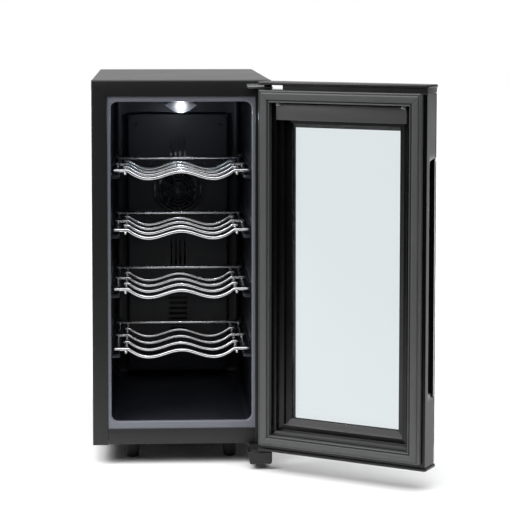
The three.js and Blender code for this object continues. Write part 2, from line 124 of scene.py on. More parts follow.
def fillet(corners, steps=5):
    """A closed outline from corners (a, b, radius): each corner becomes an arc tangent to its two edges."""
    points = np.array([corner[:2] for corner in corners], float)
    outline = []
    for i, (_, _, radius) in enumerate(corners):
        here = points[i]
        back, ahead = points[i - 1] - here, points[(i + 1) % len(points)] - here
        back, ahead = back / np.linalg.norm(back), ahead / np.linalg.norm(ahead)
        half = math.acos(np.clip(back @ ahead, -1, 1)) / 2
        if radius <= 0 or half > math.pi / 2 - 1e-3:
            outline.append(here[None])
            continue
        middle = back + ahead
        centre = here + middle / np.linalg.norm(middle) * radius / math.sin(half)
        start = here + back * radius / math.tan(half) - centre
        end = here + ahead * radius / math.tan(half) - centre
        sweep = math.pi - 2 * half
        t = np.linspace(0, 1, steps + 1)[:, None]
        outline.append(centre + (np.sin((1 - t) * sweep) * start + np.sin(t * sweep) * end) / math.sin(sweep))
    return np.concatenate(outline)


def rounded_loop(half, low, high, radius, steps=8):
    """A rounded rectangle in (x, z), x from -half to half."""
    corners = ((half, low), (half, high), (-half, high), (-half, low))
    return fillet([(x, z, radius) for x, z in corners], steps)


def loft(rings, steps=8, closed=False):
    """A skin over rounded rectangles given as (half, low, high, radius, y), one after the other along y.
    A closed loft joins the last ring to the first; an open one is capped at both ends."""
    rows = []
    for half, low, high, radius, y in rings:
        loop = rounded_loop(half, low, high, radius, steps)
        rows.append(np.stack([loop[:, 0], np.full(len(loop), y), loop[:, 1]], -1))
    return grid(np.array(rows), close_u=closed, close_v=True, caps=not closed)


def mitred_frame(profile, half, low, high, seam=0.12, stations=2, warp=None, reach=(1.0, 1.0, 1.0)):
    """Four bars round the rectangle x = -half..half, z = low..high. The profile is (r, y) with r outwards
    from the rectangle's edge, and every bar ends on the mitre planes, drawn back by the seam. Reach stretches
    r for the side bars, the bottom bar and the top bar."""
    r, y = profile[:, 0], profile[:, 1]
    side_r, bottom_r, top_r = (r * scale for scale in reach)
    t = np.linspace(0, 1, stations)[:, None]
    parts = []
    for side in (-1, 1):
        foot, head = low - bottom_r + seam, high + top_r - seam
        z = foot + t * (head - foot)
        x = np.broadcast_to(side * (half + side_r), z.shape)
        bar = np.stack([x, np.broadcast_to(y, z.shape), z], -1)
        parts.append(grid(warp(bar) if warp else bar, close_v=True, caps=True))
    for edge in (low - bottom_r, high + top_r):
        end = half + side_r - seam
        x = -end + t * 2 * end
        bar = np.stack([x, np.broadcast_to(y, x.shape), np.broadcast_to(edge, x.shape)], -1)
        parts.append(grid(bar, close_v=True, caps=True))
    return parts


def carried(outline, axis, low, high, edge=0.0):
    """An outline pushed along an axis between two planes; its ends are drawn in by the edge to round them.
    The outline is in (y, z) for axis 0, (x, z) for axis 1 and (x, y) for axis 2."""
    middle = (outline.max(0) + outline.min(0)) / 2
    reach = np.maximum((outline.max(0) - outline.min(0)) / 2, 1e-6)
    stations = [(low, edge), (low + edge * 0.3, edge * 0.3), (low + edge, 0)]
    stations += [(high - edge, 0), (high - edge * 0.3, edge * 0.3), (high, edge)]
    if edge <= 0:
        stations = [(low, 0), (high, 0)]
    rows = []
    for place, inset in stations:
        flat = middle + (outline - middle) * (1 - inset / reach)
        rows.append(np.insert(flat, axis, place, axis=1))
    return grid(np.array(rows), close_v=True, caps=True)


def revolved(profile, centre, axis=2, sides=32):
    """A profile (radius, height) turned once round an axis through the centre; both its ends are capped."""
    angle = np.arange(sides) * 2 * math.pi / sides
    radius, height = profile[:, 0][:, None], profile[:, 1][:, None]
    a, b = radius * np.cos(angle), radius * np.sin(angle)
    rows = np.stack([a, b, np.broadcast_to(height, a.shape)], -1)
    rows = np.roll(rows, axis - 2, axis=-1)
    return grid(rows + np.array(centre), close_v=True, caps=True)


def hoop(section, centre, axis=1, sides=64):
    """A closed section (radius, height) turned once round an axis through the centre."""
    angle = np.arange(sides) * 2 * math.pi / sides
    radius, height = section[:, 0][:, None], section[:, 1][:, None]
    a, b = radius * np.cos(angle), radius * np.sin(angle)
    rows = np.stack([a, b, np.broadcast_to(height, a.shape)], -1)
    rows = np.roll(rows, axis - 2, axis=-1)
    return grid(rows + np.array(centre), close_u=True, close_v=True)


def wire(path, radius, across, sides=12):
    """A round wire along a path, with a dome on each end. Across is a direction square to the whole path."""
    tangent = np.gradient(path, axis=0)
    tangent /= np.linalg.norm(tangent, axis=1)[:, None]
    side = np.broadcast_to(np.array(across, float), path.shape)
    up = np.cross(tangent, side)
    dome = np.radians([80, 55, 30])
    head = path[0] - tangent[0] * np.sin(dome)[:, None] * radius
    tail = path[-1] + tangent[-1] * np.sin(dome[::-1])[:, None] * radius
    spine = np.concatenate([head, path, tail])
    width = np.concatenate([np.cos(dome), np.ones(len(path)), np.cos(dome[::-1])]) * radius
    pad = ((3, 3), (0, 0))
    side, up = np.pad(side, pad, mode="edge"), np.pad(up, pad, mode="edge")
    angle = np.arange(sides) * 2 * math.pi / sides
    ring = np.cos(angle)[None, :, None] * side[:, None] + np.sin(angle)[None, :, None] * up[:, None]
    return grid(spine[:, None] + ring * width[:, None, None], close_v=True, caps=True)


def cross_screw(centre, toward, radius=3.2):
    """A pan-head screw: a dome over a polar grid, sunk where the two slots of its cross recess lie."""
    r = np.linspace(0.02, 1, 14)[:, None]
    angle = np.arange(48) * 2 * math.pi / 48
    x, y = r * np.cos(angle), r * np.sin(angle)
    slot = np.minimum(np.abs(x), np.abs(y)) < 0.13
    sunk = slot & (r < 0.6)
    height = 0.55 * np.sqrt(np.clip(1 - 0.75 * r**2, 0, 1)) - 0.35 * sunk
    rim = np.stack([np.cos(angle), np.sin(angle), np.full(48, -0.1)], -1)[None]
    head = np.concatenate([np.stack([x, y, np.broadcast_to(height, x.shape)], -1), rim]) * radius
    toward = np.array(toward, float)
    first = np.cross(toward, [0, 0, 1] if abs(toward[2]) < 0.9 else [1, 0, 0])
    basis = np.stack([first, np.cross(toward, first), toward])
    return grid(head @ basis + np.array(centre), close_v=True, caps=True)


# ---- turning surfaces into pieces ------------------------------------------------------------------
def make(name, parts, material, body, stands_for=(), sharp=35, accents=None):
    """One object from parts (points, faces) in the cabinet's frame, riding on a body. Door pieces are turned
    open. Accents is (material, test): faces whose centre passes the test take that second material."""
    points, faces, start = [], [], 0
    for part_points, part_faces in parts:
        points.append(part_points)
        faces += [[start + i for i in face] for face in part_faces]
        start += len(part_points)
    points = np.concatenate(points)
    chosen = None
    if accents:
        chosen = [accents[1](points[face].mean(0)) for face in faces]
    placed = (turned(points, OPEN_ANGLE) if body == "door" else points) * MM + ORIGIN
    mesh = bpy.data.meshes.new(name)
    mesh.from_pydata(placed.tolist(), [], faces)
    mesh.materials.append(bpy.data.materials[material])
    if accents:
        mesh.materials.append(bpy.data.materials[accents[0]])
        mesh.polygons.foreach_set("material_index", np.array(chosen, np.int32))
    return settle(name, mesh, body, stands_for, sharp)


def settle(name, mesh, body, stands_for, sharp):
    """Points the faces outwards, smooths all but the sharp edges, and hands the object to its body."""
    work = bmesh.new()
    work.from_mesh(mesh)
    bmesh.ops.recalc_face_normals(work, faces=work.faces)
    work.to_mesh(mesh)
    work.free()
    mesh.polygons.foreach_set("use_smooth", np.ones(len(mesh.polygons), bool))
    mesh.set_sharp_from_angle(angle=math.radians(sharp))
    piece = bpy.data.objects.new(name, mesh)
    bpy.context.scene.collection.objects.link(piece)
    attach(piece, body)
    if stands_for:
        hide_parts(*stands_for)
    return piece


def softened(node, name, material, body, width=0.5, segments=2):
    """The CAD node's own shape with its triangles merged and its sharp edges rounded."""
    mesh = frame["nodes"][node].data.copy()
    mesh.name = name
    work = bmesh.new()
    work.from_mesh(mesh)
    bmesh.ops.remove_doubles(work, verts=work.verts, dist=1e-6)
    bmesh.ops.dissolve_limit(work, angle_limit=math.radians(1), verts=work.verts, edges=work.edges)
    work.to_mesh(mesh)
    work.free()
    mesh.materials.clear()
    mesh.materials.append(bpy.data.materials[material])
    piece = settle(name, mesh, body, (node,), 35)
    bevel = piece.modifiers.new("rounded edges", "BEVEL")
    bevel.width = width * MM
    bevel.segments = segments
    bevel.limit_method = "ANGLE"
    bevel.angle_limit = math.radians(35)
    bevel.use_clamp_overlap = True
    return piece


# ---- shader groups ---------------------------------------------------------------------------------
def group(name, inputs, outputs):
    """An empty shader node group with its input and output nodes."""
    tree = bpy.data.node_groups.new(name, "ShaderNodeTree")
    for label, default in inputs:
        socket = tree.interface.new_socket(label, in_out="INPUT", socket_type="NodeSocketFloat")
        socket.default_value = default
    for label in outputs:
        tree.interface.new_socket(label, in_out="OUTPUT", socket_type="NodeSocketFloat")
    return tree, tree.nodes.new("NodeGroupInput"), tree.nodes.new("NodeGroupOutput")


def noise(tree, scale, detail=3.0, stretch=None):
    """A noise texture on object coordinates, which may be stretched along the axes."""
    place = tree.nodes.new("ShaderNodeTexCoord")
    texture = tree.nodes.new("ShaderNodeTexNoise")
    texture.inputs["Scale"].default_value = scale
    texture.inputs["Detail"].default_value = detail
    if stretch:
        mapping = tree.nodes.new("ShaderNodeMapping")
        mapping.inputs["Scale"].default_value = stretch
        tree.links.new(place.outputs["Object"], mapping.inputs["Vector"])
        tree.links.new(mapping.outputs["Vector"], texture.inputs["Vector"])
    else:
        tree.links.new(place.outputs["Object"], texture.inputs["Vector"])
    return texture


def maths(tree, operation, a, b=0.0):
    """A maths node; a and b are sockets or numbers."""
    node = tree.nodes.new("ShaderNodeMath")
    node.operation = operation
    for socket, value in zip(node.inputs, (a, b)):
        if isinstance(value, (int, float)):
            socket.default_value = value
        else:
            tree.links.new(value, socket)
    return node.outputs[0]


def remap(tree, value, low, high, to_low=0.0, to_high=1.0):
    """A map range node: low..high goes to to_low..to_high, held at the ends."""
    node = tree.nodes.new("ShaderNodeMapRange")
    tree.links.new(value, node.inputs["Value"])
    for label, number in (("From Min", low), ("From Max", high), ("To Min", to_low), ("To Max", to_high)):
        node.inputs[label].default_value = number
    return node.outputs["Result"]


def build_groups():
    """Moulded or sprayed grain, worn edges, settled dust, handling marks and brushed lines, made once
    each."""
    tree, given, out = group("fine grain", [("Scale", 900.0), ("Depth", 1.0)], ["Height", "Tone"])
    texture = noise(tree, 900.0, 2.0)
    tree.links.new(given.outputs["Scale"], texture.inputs["Scale"])
    height = maths(tree, "MULTIPLY", texture.outputs["Fac"], given.outputs["Depth"])
    tree.links.new(height, out.inputs["Height"])
    tree.links.new(remap(tree, texture.outputs["Fac"], 0.3, 0.7), out.inputs["Tone"])

    tree, given, out = group("edge wear", [("Amount", 0.5)], ["Mask"])
    geometry = tree.nodes.new("ShaderNodeNewGeometry")
    worn = remap(tree, geometry.outputs["Pointiness"], 0.52, 0.62)
    patchy = remap(tree, noise(tree, 60.0, 4.0).outputs["Fac"], 0.35, 0.65, 0.3, 1.0)
    mask = maths(tree, "MULTIPLY", maths(tree, "MULTIPLY", worn, patchy), given.outputs["Amount"])
    tree.links.new(mask, out.inputs["Mask"])

    tree, given, out = group("settled dust", [("Amount", 0.3)], ["Mask"])
    geometry = tree.nodes.new("ShaderNodeNewGeometry")
    split = tree.nodes.new("ShaderNodeSeparateXYZ")
    tree.links.new(geometry.outputs["Normal"], split.inputs[0])
    level = remap(tree, split.outputs["Z"], 0.6, 1.0)
    specks = remap(tree, noise(tree, 220.0, 5.0).outputs["Fac"], 0.42, 0.75)
    mask = maths(tree, "MULTIPLY", maths(tree, "MULTIPLY", level, specks), given.outputs["Amount"])
    tree.links.new(mask, out.inputs["Mask"])

    tree, given, out = group("handling marks", [("Amount", 0.1)], ["Roughness"])
    broad = remap(tree, noise(tree, 14.0, 4.0).outputs["Fac"], 0.35, 0.7, -0.5, 0.5)
    fine = remap(tree, noise(tree, 90.0, 3.0, (1, 1, 0.3)).outputs["Fac"], 0.3, 0.7, -0.25, 0.25)
    total = maths(tree, "MULTIPLY", maths(tree, "ADD", broad, fine), given.outputs["Amount"])
    tree.links.new(total, out.inputs["Roughness"])

    tree, given, out = group("brushed lines", [("Depth", 1.0)], ["Height", "Tone"])
    texture = noise(tree, 260.0, 3.0, (1, 1, 0.02))
    height = maths(tree, "MULTIPLY", texture.outputs["Fac"], given.outputs["Depth"])
    tree.links.new(height, out.inputs["Height"])
    tree.links.new(remap(tree, texture.outputs["Fac"], 0.3, 0.7), out.inputs["Tone"])


def use_group(tree, name, **values):
    """A node that uses the named group, with its inputs set."""
    node = tree.nodes.new("ShaderNodeGroup")
    node.node_tree = bpy.data.node_groups[name]
    for label, value in values.items():
        node.inputs[label].default_value = value
    return node


def mix(tree, factor, first, second):
    """A colour mix; the colours are sockets or colour values."""
    node = tree.nodes.new("ShaderNodeMix")
    node.data_type = "RGBA"
    tree.links.new(factor, node.inputs["Factor"])
    for socket, value in ((node.inputs[6], first), (node.inputs[7], second)):
        if isinstance(value, bpy.types.NodeSocket):
            tree.links.new(value, socket)
        else:
            socket.default_value = (*value, 1.0)
    return node.outputs[2]


def finish(name, color, roughness, metallic=0.0, grain=900.0, depth=0.15, tone=0.12, wear=0.0,
           worn=(0.8, 0.8, 0.8), dust=0.0, marks=0.05, brushed=False, specular=0.5):
    """A surface finish: a base colour varied by its grain, worn edges, a little dust and uneven gloss."""
    material = bpy.data.materials.new(name)
    material.use_nodes = True
    tree = material.node_tree
    shader = tree.nodes["Principled BSDF"]
    shader.inputs["Metallic"].default_value = metallic
    shader.inputs["Specular IOR Level"].default_value = specular
    if brushed:
        surface = use_group(tree, "brushed lines", Depth=1.0)
    else:
        surface = use_group(tree, "fine grain", Scale=grain)
    lighter = tuple(min(1.0, channel * (1 + tone) + 0.002) for channel in color)
    darker = tuple(channel * (1 - tone) for channel in color)
    shade = mix(tree, surface.outputs["Tone"], darker, lighter)
    if wear:
        rubbed = use_group(tree, "edge wear", Amount=wear)
        shade = mix(tree, rubbed.outputs["Mask"], shade, worn)
    if dust:
        settled = use_group(tree, "settled dust", Amount=dust)
        shade = mix(tree, settled.outputs["Mask"], shade, (0.42, 0.41, 0.4))
    tree.links.new(shade, shader.inputs["Base Color"])
    uneven = use_group(tree, "handling marks", Amount=marks)
    tree.links.new(maths(tree, "ADD", uneven.outputs["Roughness"], roughness), shader.inputs["Roughness"])
    bump = tree.nodes.new("ShaderNodeBump")
    bump.inputs["Strength"].default_value = depth
    bump.inputs["Distance"].default_value = 0.0002
    tree.links.new(surface.outputs["Height"], bump.inputs["Height"])
    tree.links.new(bump.outputs["Normal"], shader.inputs["Normal"])
    return material


def clear_glass(name, tint):
    """A tinted clear pane with faint smears, its index a little under real glass for fainter reflections."""
    material = bpy.data.materials.new(name)
    material.use_nodes = True
    tree = material.node_tree
    shader = tree.nodes["Principled BSDF"]
    shader.inputs["Base Color"].default_value = (*tint, 1.0)
    shader.inputs["Transmission Weight"].default_value = 1.0
    shader.inputs["IOR"].default_value = 1.32
    smears = use_group(tree, "handling marks", Amount=0.02)
    tree.links.new(maths(tree, "ADD", smears.outputs["Roughness"], 0.02), shader.inputs["Roughness"])


def lit_lens(name, strength):
    """A frosted lens that glows most under the diode at its middle and fades towards its wings."""
    material = finish(name, (0.4, 0.45, 0.53), 0.35, grain=500.0, marks=0.02)
    tree = material.node_tree
    shader = tree.nodes["Principled BSDF"]
    low, high = extent("lamp_lens")
    diode = np.array([(low[0] + high[0]) / 2, low[1], low[2] + 9.0]) * MM + ORIGIN
    place = tree.nodes.new("ShaderNodeTexCoord")
    distance = tree.nodes.new("ShaderNodeVectorMath")
    distance.operation = "DISTANCE"
    distance.inputs[1].default_value = diode
    tree.links.new(place.outputs["Object"], distance.inputs[0])
    glow = remap(tree, distance.outputs["Value"], 0.0, 0.019, 1.0, 0.0)
    glow = maths(tree, "POWER", glow, 3.6)
    tree.links.new(mix(tree, glow, (0.0, 0.0, 0.0), (0.93, 0.97, 1.0)), shader.inputs["Emission Color"])
    shader.inputs["Emission Strength"].default_value = strength


def build_finishes(looks):
    """Every finish by name, the main colours taken from the settings."""
    paint, plastic, liner = tuple(looks.paint), tuple(looks.plastic), tuple(looks.liner)
    finish("cabinet powder coat", paint, 0.42, grain=1500.0, depth=0.08, tone=0.06, dust=0.03, marks=0.03)
    finish("rear panel paint", (0.008, 0.008, 0.0085), 0.55, grain=1300.0, depth=0.1, tone=0.06, dust=0.03,
           marks=0.03)
    finish("liner plastic", liner, 0.36, grain=1100.0, depth=0.05, tone=0.06, dust=0.02, marks=0.1)
    finish("trim plastic", tuple(looks.trim), 0.36, grain=1100.0, depth=0.1, marks=0.06)
    finish("cover plastic", (0.01, 0.0115, 0.016), 0.4, grain=900.0, depth=0.15, dust=0.03, marks=0.1)
    finish("satin black plastic", plastic, 0.4, grain=1400.0, depth=0.08, tone=0.06, dust=0.02, marks=0.08)
    finish("reveal plastic", (0.0018, 0.0018, 0.002), 0.24, grain=1200.0, depth=0.05, marks=0.08,
           specular=0.35)
    # This grey is the control bar's own colour, and it also paints the window's bottom sill lighter: painted
    # light.
    finish("control bar plastic and painted sill light", (0.065, 0.065, 0.0665), 0.42, grain=1200.0, depth=0.12, marks=0.08)
    finish("door black plastic", (0.003, 0.003, 0.003), 0.22, grain=1400.0, depth=0.05, marks=0.08,
           specular=0.35)
    finish("gloss black plastic", (0.002, 0.002, 0.002), 0.08, grain=300.0, depth=0.02, marks=0.05)
    finish("seal vinyl", tuple(looks.seal), 0.44, grain=700.0, depth=0.08, tone=0.06, marks=0.08, dust=0.02)
    finish("foot rubber", (0.006, 0.006, 0.006), 0.7, grain=800.0, depth=0.4, dust=0.1)
    finish("chrome wire", (0.62, 0.62, 0.63), 0.26, 1.0, grain=400.0, depth=0.03, tone=0.03, marks=0.08)
    finish("zinc plate", (0.42, 0.43, 0.44), 0.32, 1.0, grain=600.0, depth=0.1, wear=0.2,
           worn=(0.8, 0.8, 0.8), marks=0.15)
    finish("brushed aluminium", (0.6, 0.61, 0.62), 0.34, 1.0, depth=0.3, brushed=True, marks=0.1)
    finish("blown foam", (0.7, 0.6, 0.38), 0.85, grain=300.0, depth=0.8, tone=0.2)
    finish("solder mask", (0.01, 0.09, 0.03), 0.35, grain=500.0, depth=0.1, tone=0.3)
    finish("alumina", (0.75, 0.73, 0.68), 0.6, grain=700.0, depth=0.2)
    finish("nylon", (0.75, 0.73, 0.66), 0.45, grain=700.0, depth=0.1)
    finish("ferrite", (0.02, 0.018, 0.017), 0.8, grain=500.0, depth=0.3)
    finish("window border", (0.003, 0.003, 0.003), 0.3, grain=600.0, depth=0.02)
    clear_glass("door glass", tuple(looks.glass))
    lit_lens("lamp diffuser", looks.lamp)


# ---- cabinet ---------------------------------------------------------------------------------------
def cabinet_shell(sizes):
    """The folded sheet round top and sides: a path in (x, z) with rounded folds, given the sheet's
    thickness. Its front edge meets the bezel: two stiles and a top rail, hemmed at their inner edge, with
    mitred ends."""
    (x0, _, z0), (x1, y1, z1) = SHELL
    half, sheet, fold, seam = (x1 - x0) / 2, 1.5, sizes.fold, 0.14
    start = fold + 0.2
    inner, crown, crease = half - sheet, z1 - sheet, fold - sheet / 2
    path = fillet([(half, z0, 0), (half, z1, fold), (-half, z1, fold), (-half, z0, 0)], 6)
    inside = fillet([(inner, z0, 0), (inner, crown, crease), (-inner, crown, crease), (-inner, z0, 0)], 6)
    section = [(path, start), (path, y1), (inside, y1), (inside, start)]
    rows = np.stack([np.insert(line, 1, y, axis=1) for line, y in section], 1)
    parts = [grid(rows, close_v=True, caps=True)]

    stile, rail = 22.0, 23.5
    profile = fillet([(stile, start, 0), (stile, 0, fold), (0, 0, 0.9), (0, 3.2, 0.3), (1.2, 3.2, 0.3),
                      (1.2, 1.4, 0.3), (stile - 1.5, 1.4, 0.3), (stile - 1.5, start, 0)], 5)
    r, y = profile[:, 0], profile[:, 1]
    mitre = z1 - rail + r * rail / stile
    edge = half - stile
    for side in (-1, 1):
        ends = (np.full(len(r), z0), mitre - seam)
        bar = np.stack([np.stack([side * (edge + r), y, z], -1) for z in ends])
        parts.append(grid(bar, close_v=True, caps=True))
    span = edge + r - seam
    rows = np.stack([np.stack([side * span, y, mitre], -1) for side in (-1, 1)])
    parts.append(grid(rows, close_v=True, caps=True))
    for a, b in ((-half + 1, -half + 12), (half - 12, half - 1)):
        flange = fillet([(a, z0, 0.5), (b, z0, 0.5), (b, z0 + sheet, 0.5), (a, z0 + sheet, 0.5)], 2)
        parts.append(carried(flange, 1, start, y1))
    make("cabinet_shell", parts, "cabinet powder coat", "cabinet", ("outer_wrapper",))


def bottom_rail():
    """The rail under the opening: a sheet folded back at its foot and hemmed along its top edge."""
    (x0, y0, z0), (x1, y1, z1) = extent("bottom_rail")
    z0 += 0.5
    profile = fillet([(y0, z0, 1.8), (y0, z1, 0.9), (3.2, z1, 0.3), (3.2, z1 - 1.3, 0.3),
                      (1.5, z1 - 1.3, 0.3), (1.5, z0 + 1.5, 0.8), (y1, z0 + 1.5, 0.3), (y1, z0, 0.3)], 5)
    make("bezel_bottom_rail", [carried(profile, 0, x0, x1)], "cabinet powder coat", "cabinet",
         ("bottom_rail",))


def rear_and_base():
    """Rear panel, base and mains inlet in their CAD shapes with eased edges, and the screws that hold
    them."""
    softened("rear_panel", "rear_panel_sheet", "rear panel paint", "cabinet", 0.35)
    softened("base_plate", "base_sheet", "rear panel paint", "cabinet", 0.4)
    softened("mains_inlet", "mains_socket", "satin black plastic", "cabinet", 0.6, 3)
    low, high = extent("rear_panel")
    heads = []
    for z in np.linspace(low[2] + 12, high[2] - 12, 5):
        heads += [cross_screw((side * (high[0] - 7), high[1], z), (0, 1, 0), 3.4) for side in (-1, 1)]
    for z in (low[2] + 8, high[2] - 8):
        heads += [cross_screw((x, high[1], z), (0, 1, 0), 3.4) for x in (-45, 45)]
    low, high = extent("mains_inlet")
    z = (low[2] + high[2]) / 2
    heads += [cross_screw((x, high[1], z), (0, 1, 0), 2.3) for x in (low[0] + 3.4, high[0] - 3.4)]
    make("rear_screws", heads, "zinc plate", "cabinet")


def feet():
    """Round feet: a tapered profile turned about the upright axis, with a soft tread and a neck into the
    base."""
    for end in ("front", "rear"):
        for side in ("left", "right"):
            node = f"foot_{end}_{side}"
            (x0, y0, z0), (x1, y1, z1) = extent(node)
            top, x, y = (x1 - x0) / 2, (x0 + x1) / 2, (y0 + y1) / 2
            tread, shoulder, neck = top - 2.5, z0 + 24, top - 3.5
            profile = np.array([(tread - 2.5, z0 + 1.2), (tread - 1.8, z0), (tread - 0.7, z0),
                                (tread - 0.1, z0 + 0.5),
                                (tread + 0.1, z0 + 1.6), (top - 0.15, shoulder - 2),
                                (top - 0.3, shoulder - 0.8),
                                (top - 1.1, shoulder - 0.1), (neck, shoulder), (neck, z1 - 1.6)])
            wheel = revolved(profile, (x, y, 0), 2, 40)
            make(f"round_{node}", [wheel], "foot rubber", "cabinet", (node,))


# ---- liner, lamp and cooling -----------------------------------------------------------------------
CAVITY = {"half": 99.5, "low": 62.0, "high": 516.0, "back": 350.0, "corner": 10.0}


def liner():
    """The moulded tub: rounded rectangles lofted from the back wall forwards, over the lip, and back outside.
    The trim round its mouth is a frame of its own, and each shelf runs between two ribs on either side."""
    half, low, high, back, corner = CAVITY.values()
    rings = []
    for k in range(7):
        turn = math.pi / 2 * k / 6
        inset, y = 8 * (1 - math.sin(turn)), back - 8 * (1 - math.cos(turn))
        rings.append((half - inset, low + inset, high - inset, corner + 2, y))
    inner = [(half - 30, low + 30, high - 30, corner, back)] + rings
    mouth = [(half, low, high, corner, 12), (half + 0.6, low - 0.6, high + 0.6, corner, 8)]
    skin = (half + 2, low - 2, high + 2, corner + 1)
    outside = [(*skin, 8), (*skin, back + 2)]
    make("liner_tub", [loft(inner + mouth + outside, 8)], "liner plastic", "cabinet",
         ("inner_liner",))

    lip = [(half - 0.2, low + 0.2, high - 0.2, corner, 8)]
    for k in range(7):
        turn = math.pi / 2 * k / 6
        out = 2.2 * (1 - math.cos(turn))
        y = 1.9 + 2.2 * (1 - math.sin(turn))
        lip.append((half - 0.2 + out, low + 0.2 - out, high - 0.2 + out, corner + out, y))
    rim = (111, low - 17, high + 14, 6)
    flat = [(110, low - 16, high + 13, 6, 1.9), (*rim, 2.9), (*rim, 3.8)]
    back_of = [(half + 2.5, low - 2.5, high + 2.5, corner, 3.8),
               (half + 1.4, low - 1.4, high + 1.4, corner, 8)]
    trim = loft(lip + flat + back_of, 10, closed=True)
    make("mouth_trim", [trim], "trim plastic", "cabinet")

    nose, ribs = 87.5, []
    for node in SHELVES:
        level = extent(node)[1][2] - 2.4
        for side in (-1, 1):
            ribs.append(rib(side, half, nose, level - 10.6, level - 6.6, 6, 300))
            ribs.append(rib(side, half, 96, level + 3.4, level + 6.4, 46, 300))
            ribs.append(rib(side, half, nose, level - 7.1, level + 3.9, 240, 244))
    make("shelf_ribs", ribs, "liner plastic", "cabinet")


def rib(side, wall, nose, low, high, front, back):
    """A moulded rib: a section with a round nose, carried along y and drawn into the wall at both ends."""
    radius = min(1.6, (high - low) / 2.2)
    section = fillet([(wall + 1, low - 1, 0), (wall - 1, low, 0.6), (nose, low, radius), (nose, high, radius),
                      (wall - 1, high, 0.6), (wall + 1, high + 1, 0)], 4)
    rows = []
    for y, keep in ((front, 0.12), (front + 1.2, 0.75), (front + 3, 1), (back - 3, 1), (back - 1.2, 0.75),
                    (back, 0.12)):
        x = wall + (section[:, 0] - wall) * keep
        rows.append(np.stack([side * x, np.full(len(x), y), section[:, 1]], -1))
    return grid(np.array(rows), close_v=True, caps=True)


def lamp():
    """The diffuser: a boat-shaped section, with pointed wings and a rounded keel, carried front to back with
    softened ends. Its board is inside, out of sight."""
    (x0, y0, z0), (x1, y1, z1) = extent("lamp_lens")
    half, waist = (x1 - x0) / 2, z1 - 5.5
    t = np.linspace(-1, 1, 29)[1:-1]
    keel = np.stack([half * t, z0 + (waist - z0) * np.abs(t) ** 1.9], -1)
    outline = np.concatenate([[(-half * 0.65, z1 - 0.3), (-half, waist)], keel,
                              [(half, waist), (half * 0.65, z1 - 0.3)]])
    section = np.array([((x0 + x1) / 2, 0)]) + outline
    make("lamp_diffuser", [carried(section, 1, y0, y1, 1.4)], "lamp diffuser", "cabinet",
         ("lamp_lens", "lamp_board"), 50)


def slotted_sheet(xs, zs, holes, y0, y1):
    """A flat sheet with oblong holes: cells of a grid in (x, z), without those in a hole, on both faces,
    joined by walls round its rim and round every hole."""
    m, n = len(xs), len(zs)
    solid = np.ones((m - 1, n - 1), bool)
    mid_x, mid_z = (xs[1:] + xs[:-1]) / 2, (zs[1:] + zs[:-1]) / 2
    for a0, a1, b0, b1 in holes:
        solid &= ~(((mid_x > a0) & (mid_x < a1))[:, None] & ((mid_z > b0) & (mid_z < b1))[None])
    gx, gz = np.meshgrid(xs, zs, indexing="ij")
    front = np.stack([gx, np.full_like(gx, y0), gz], -1).reshape(-1, 3)
    points = np.concatenate([front, front + [0, y1 - y0, 0]])
    i, j = np.nonzero(solid)
    a = i * n + j
    quads = np.stack([a, a + n, a + n + 1, a + 1], -1)
    faces = quads.tolist() + (quads[:, ::-1] + m * n).tolist()
    framed = np.pad(solid, 1)
    for di, dj, first, second in ((-1, 0, 0, 1), (1, 0, n, n + 1), (0, -1, 0, n), (0, 1, 1, n + 1)):
        open_side = ~framed[i + 1 + di, j + 1 + dj]
        b = a[open_side]
        faces += np.stack([b + first, b + second, b + second + m * n, b + first + m * n], -1).tolist()
    used = np.unique(np.array(faces))
    lookup = np.full(len(points), -1)
    lookup[used] = np.arange(len(used))
    return points[used], lookup[np.array(faces)].tolist()


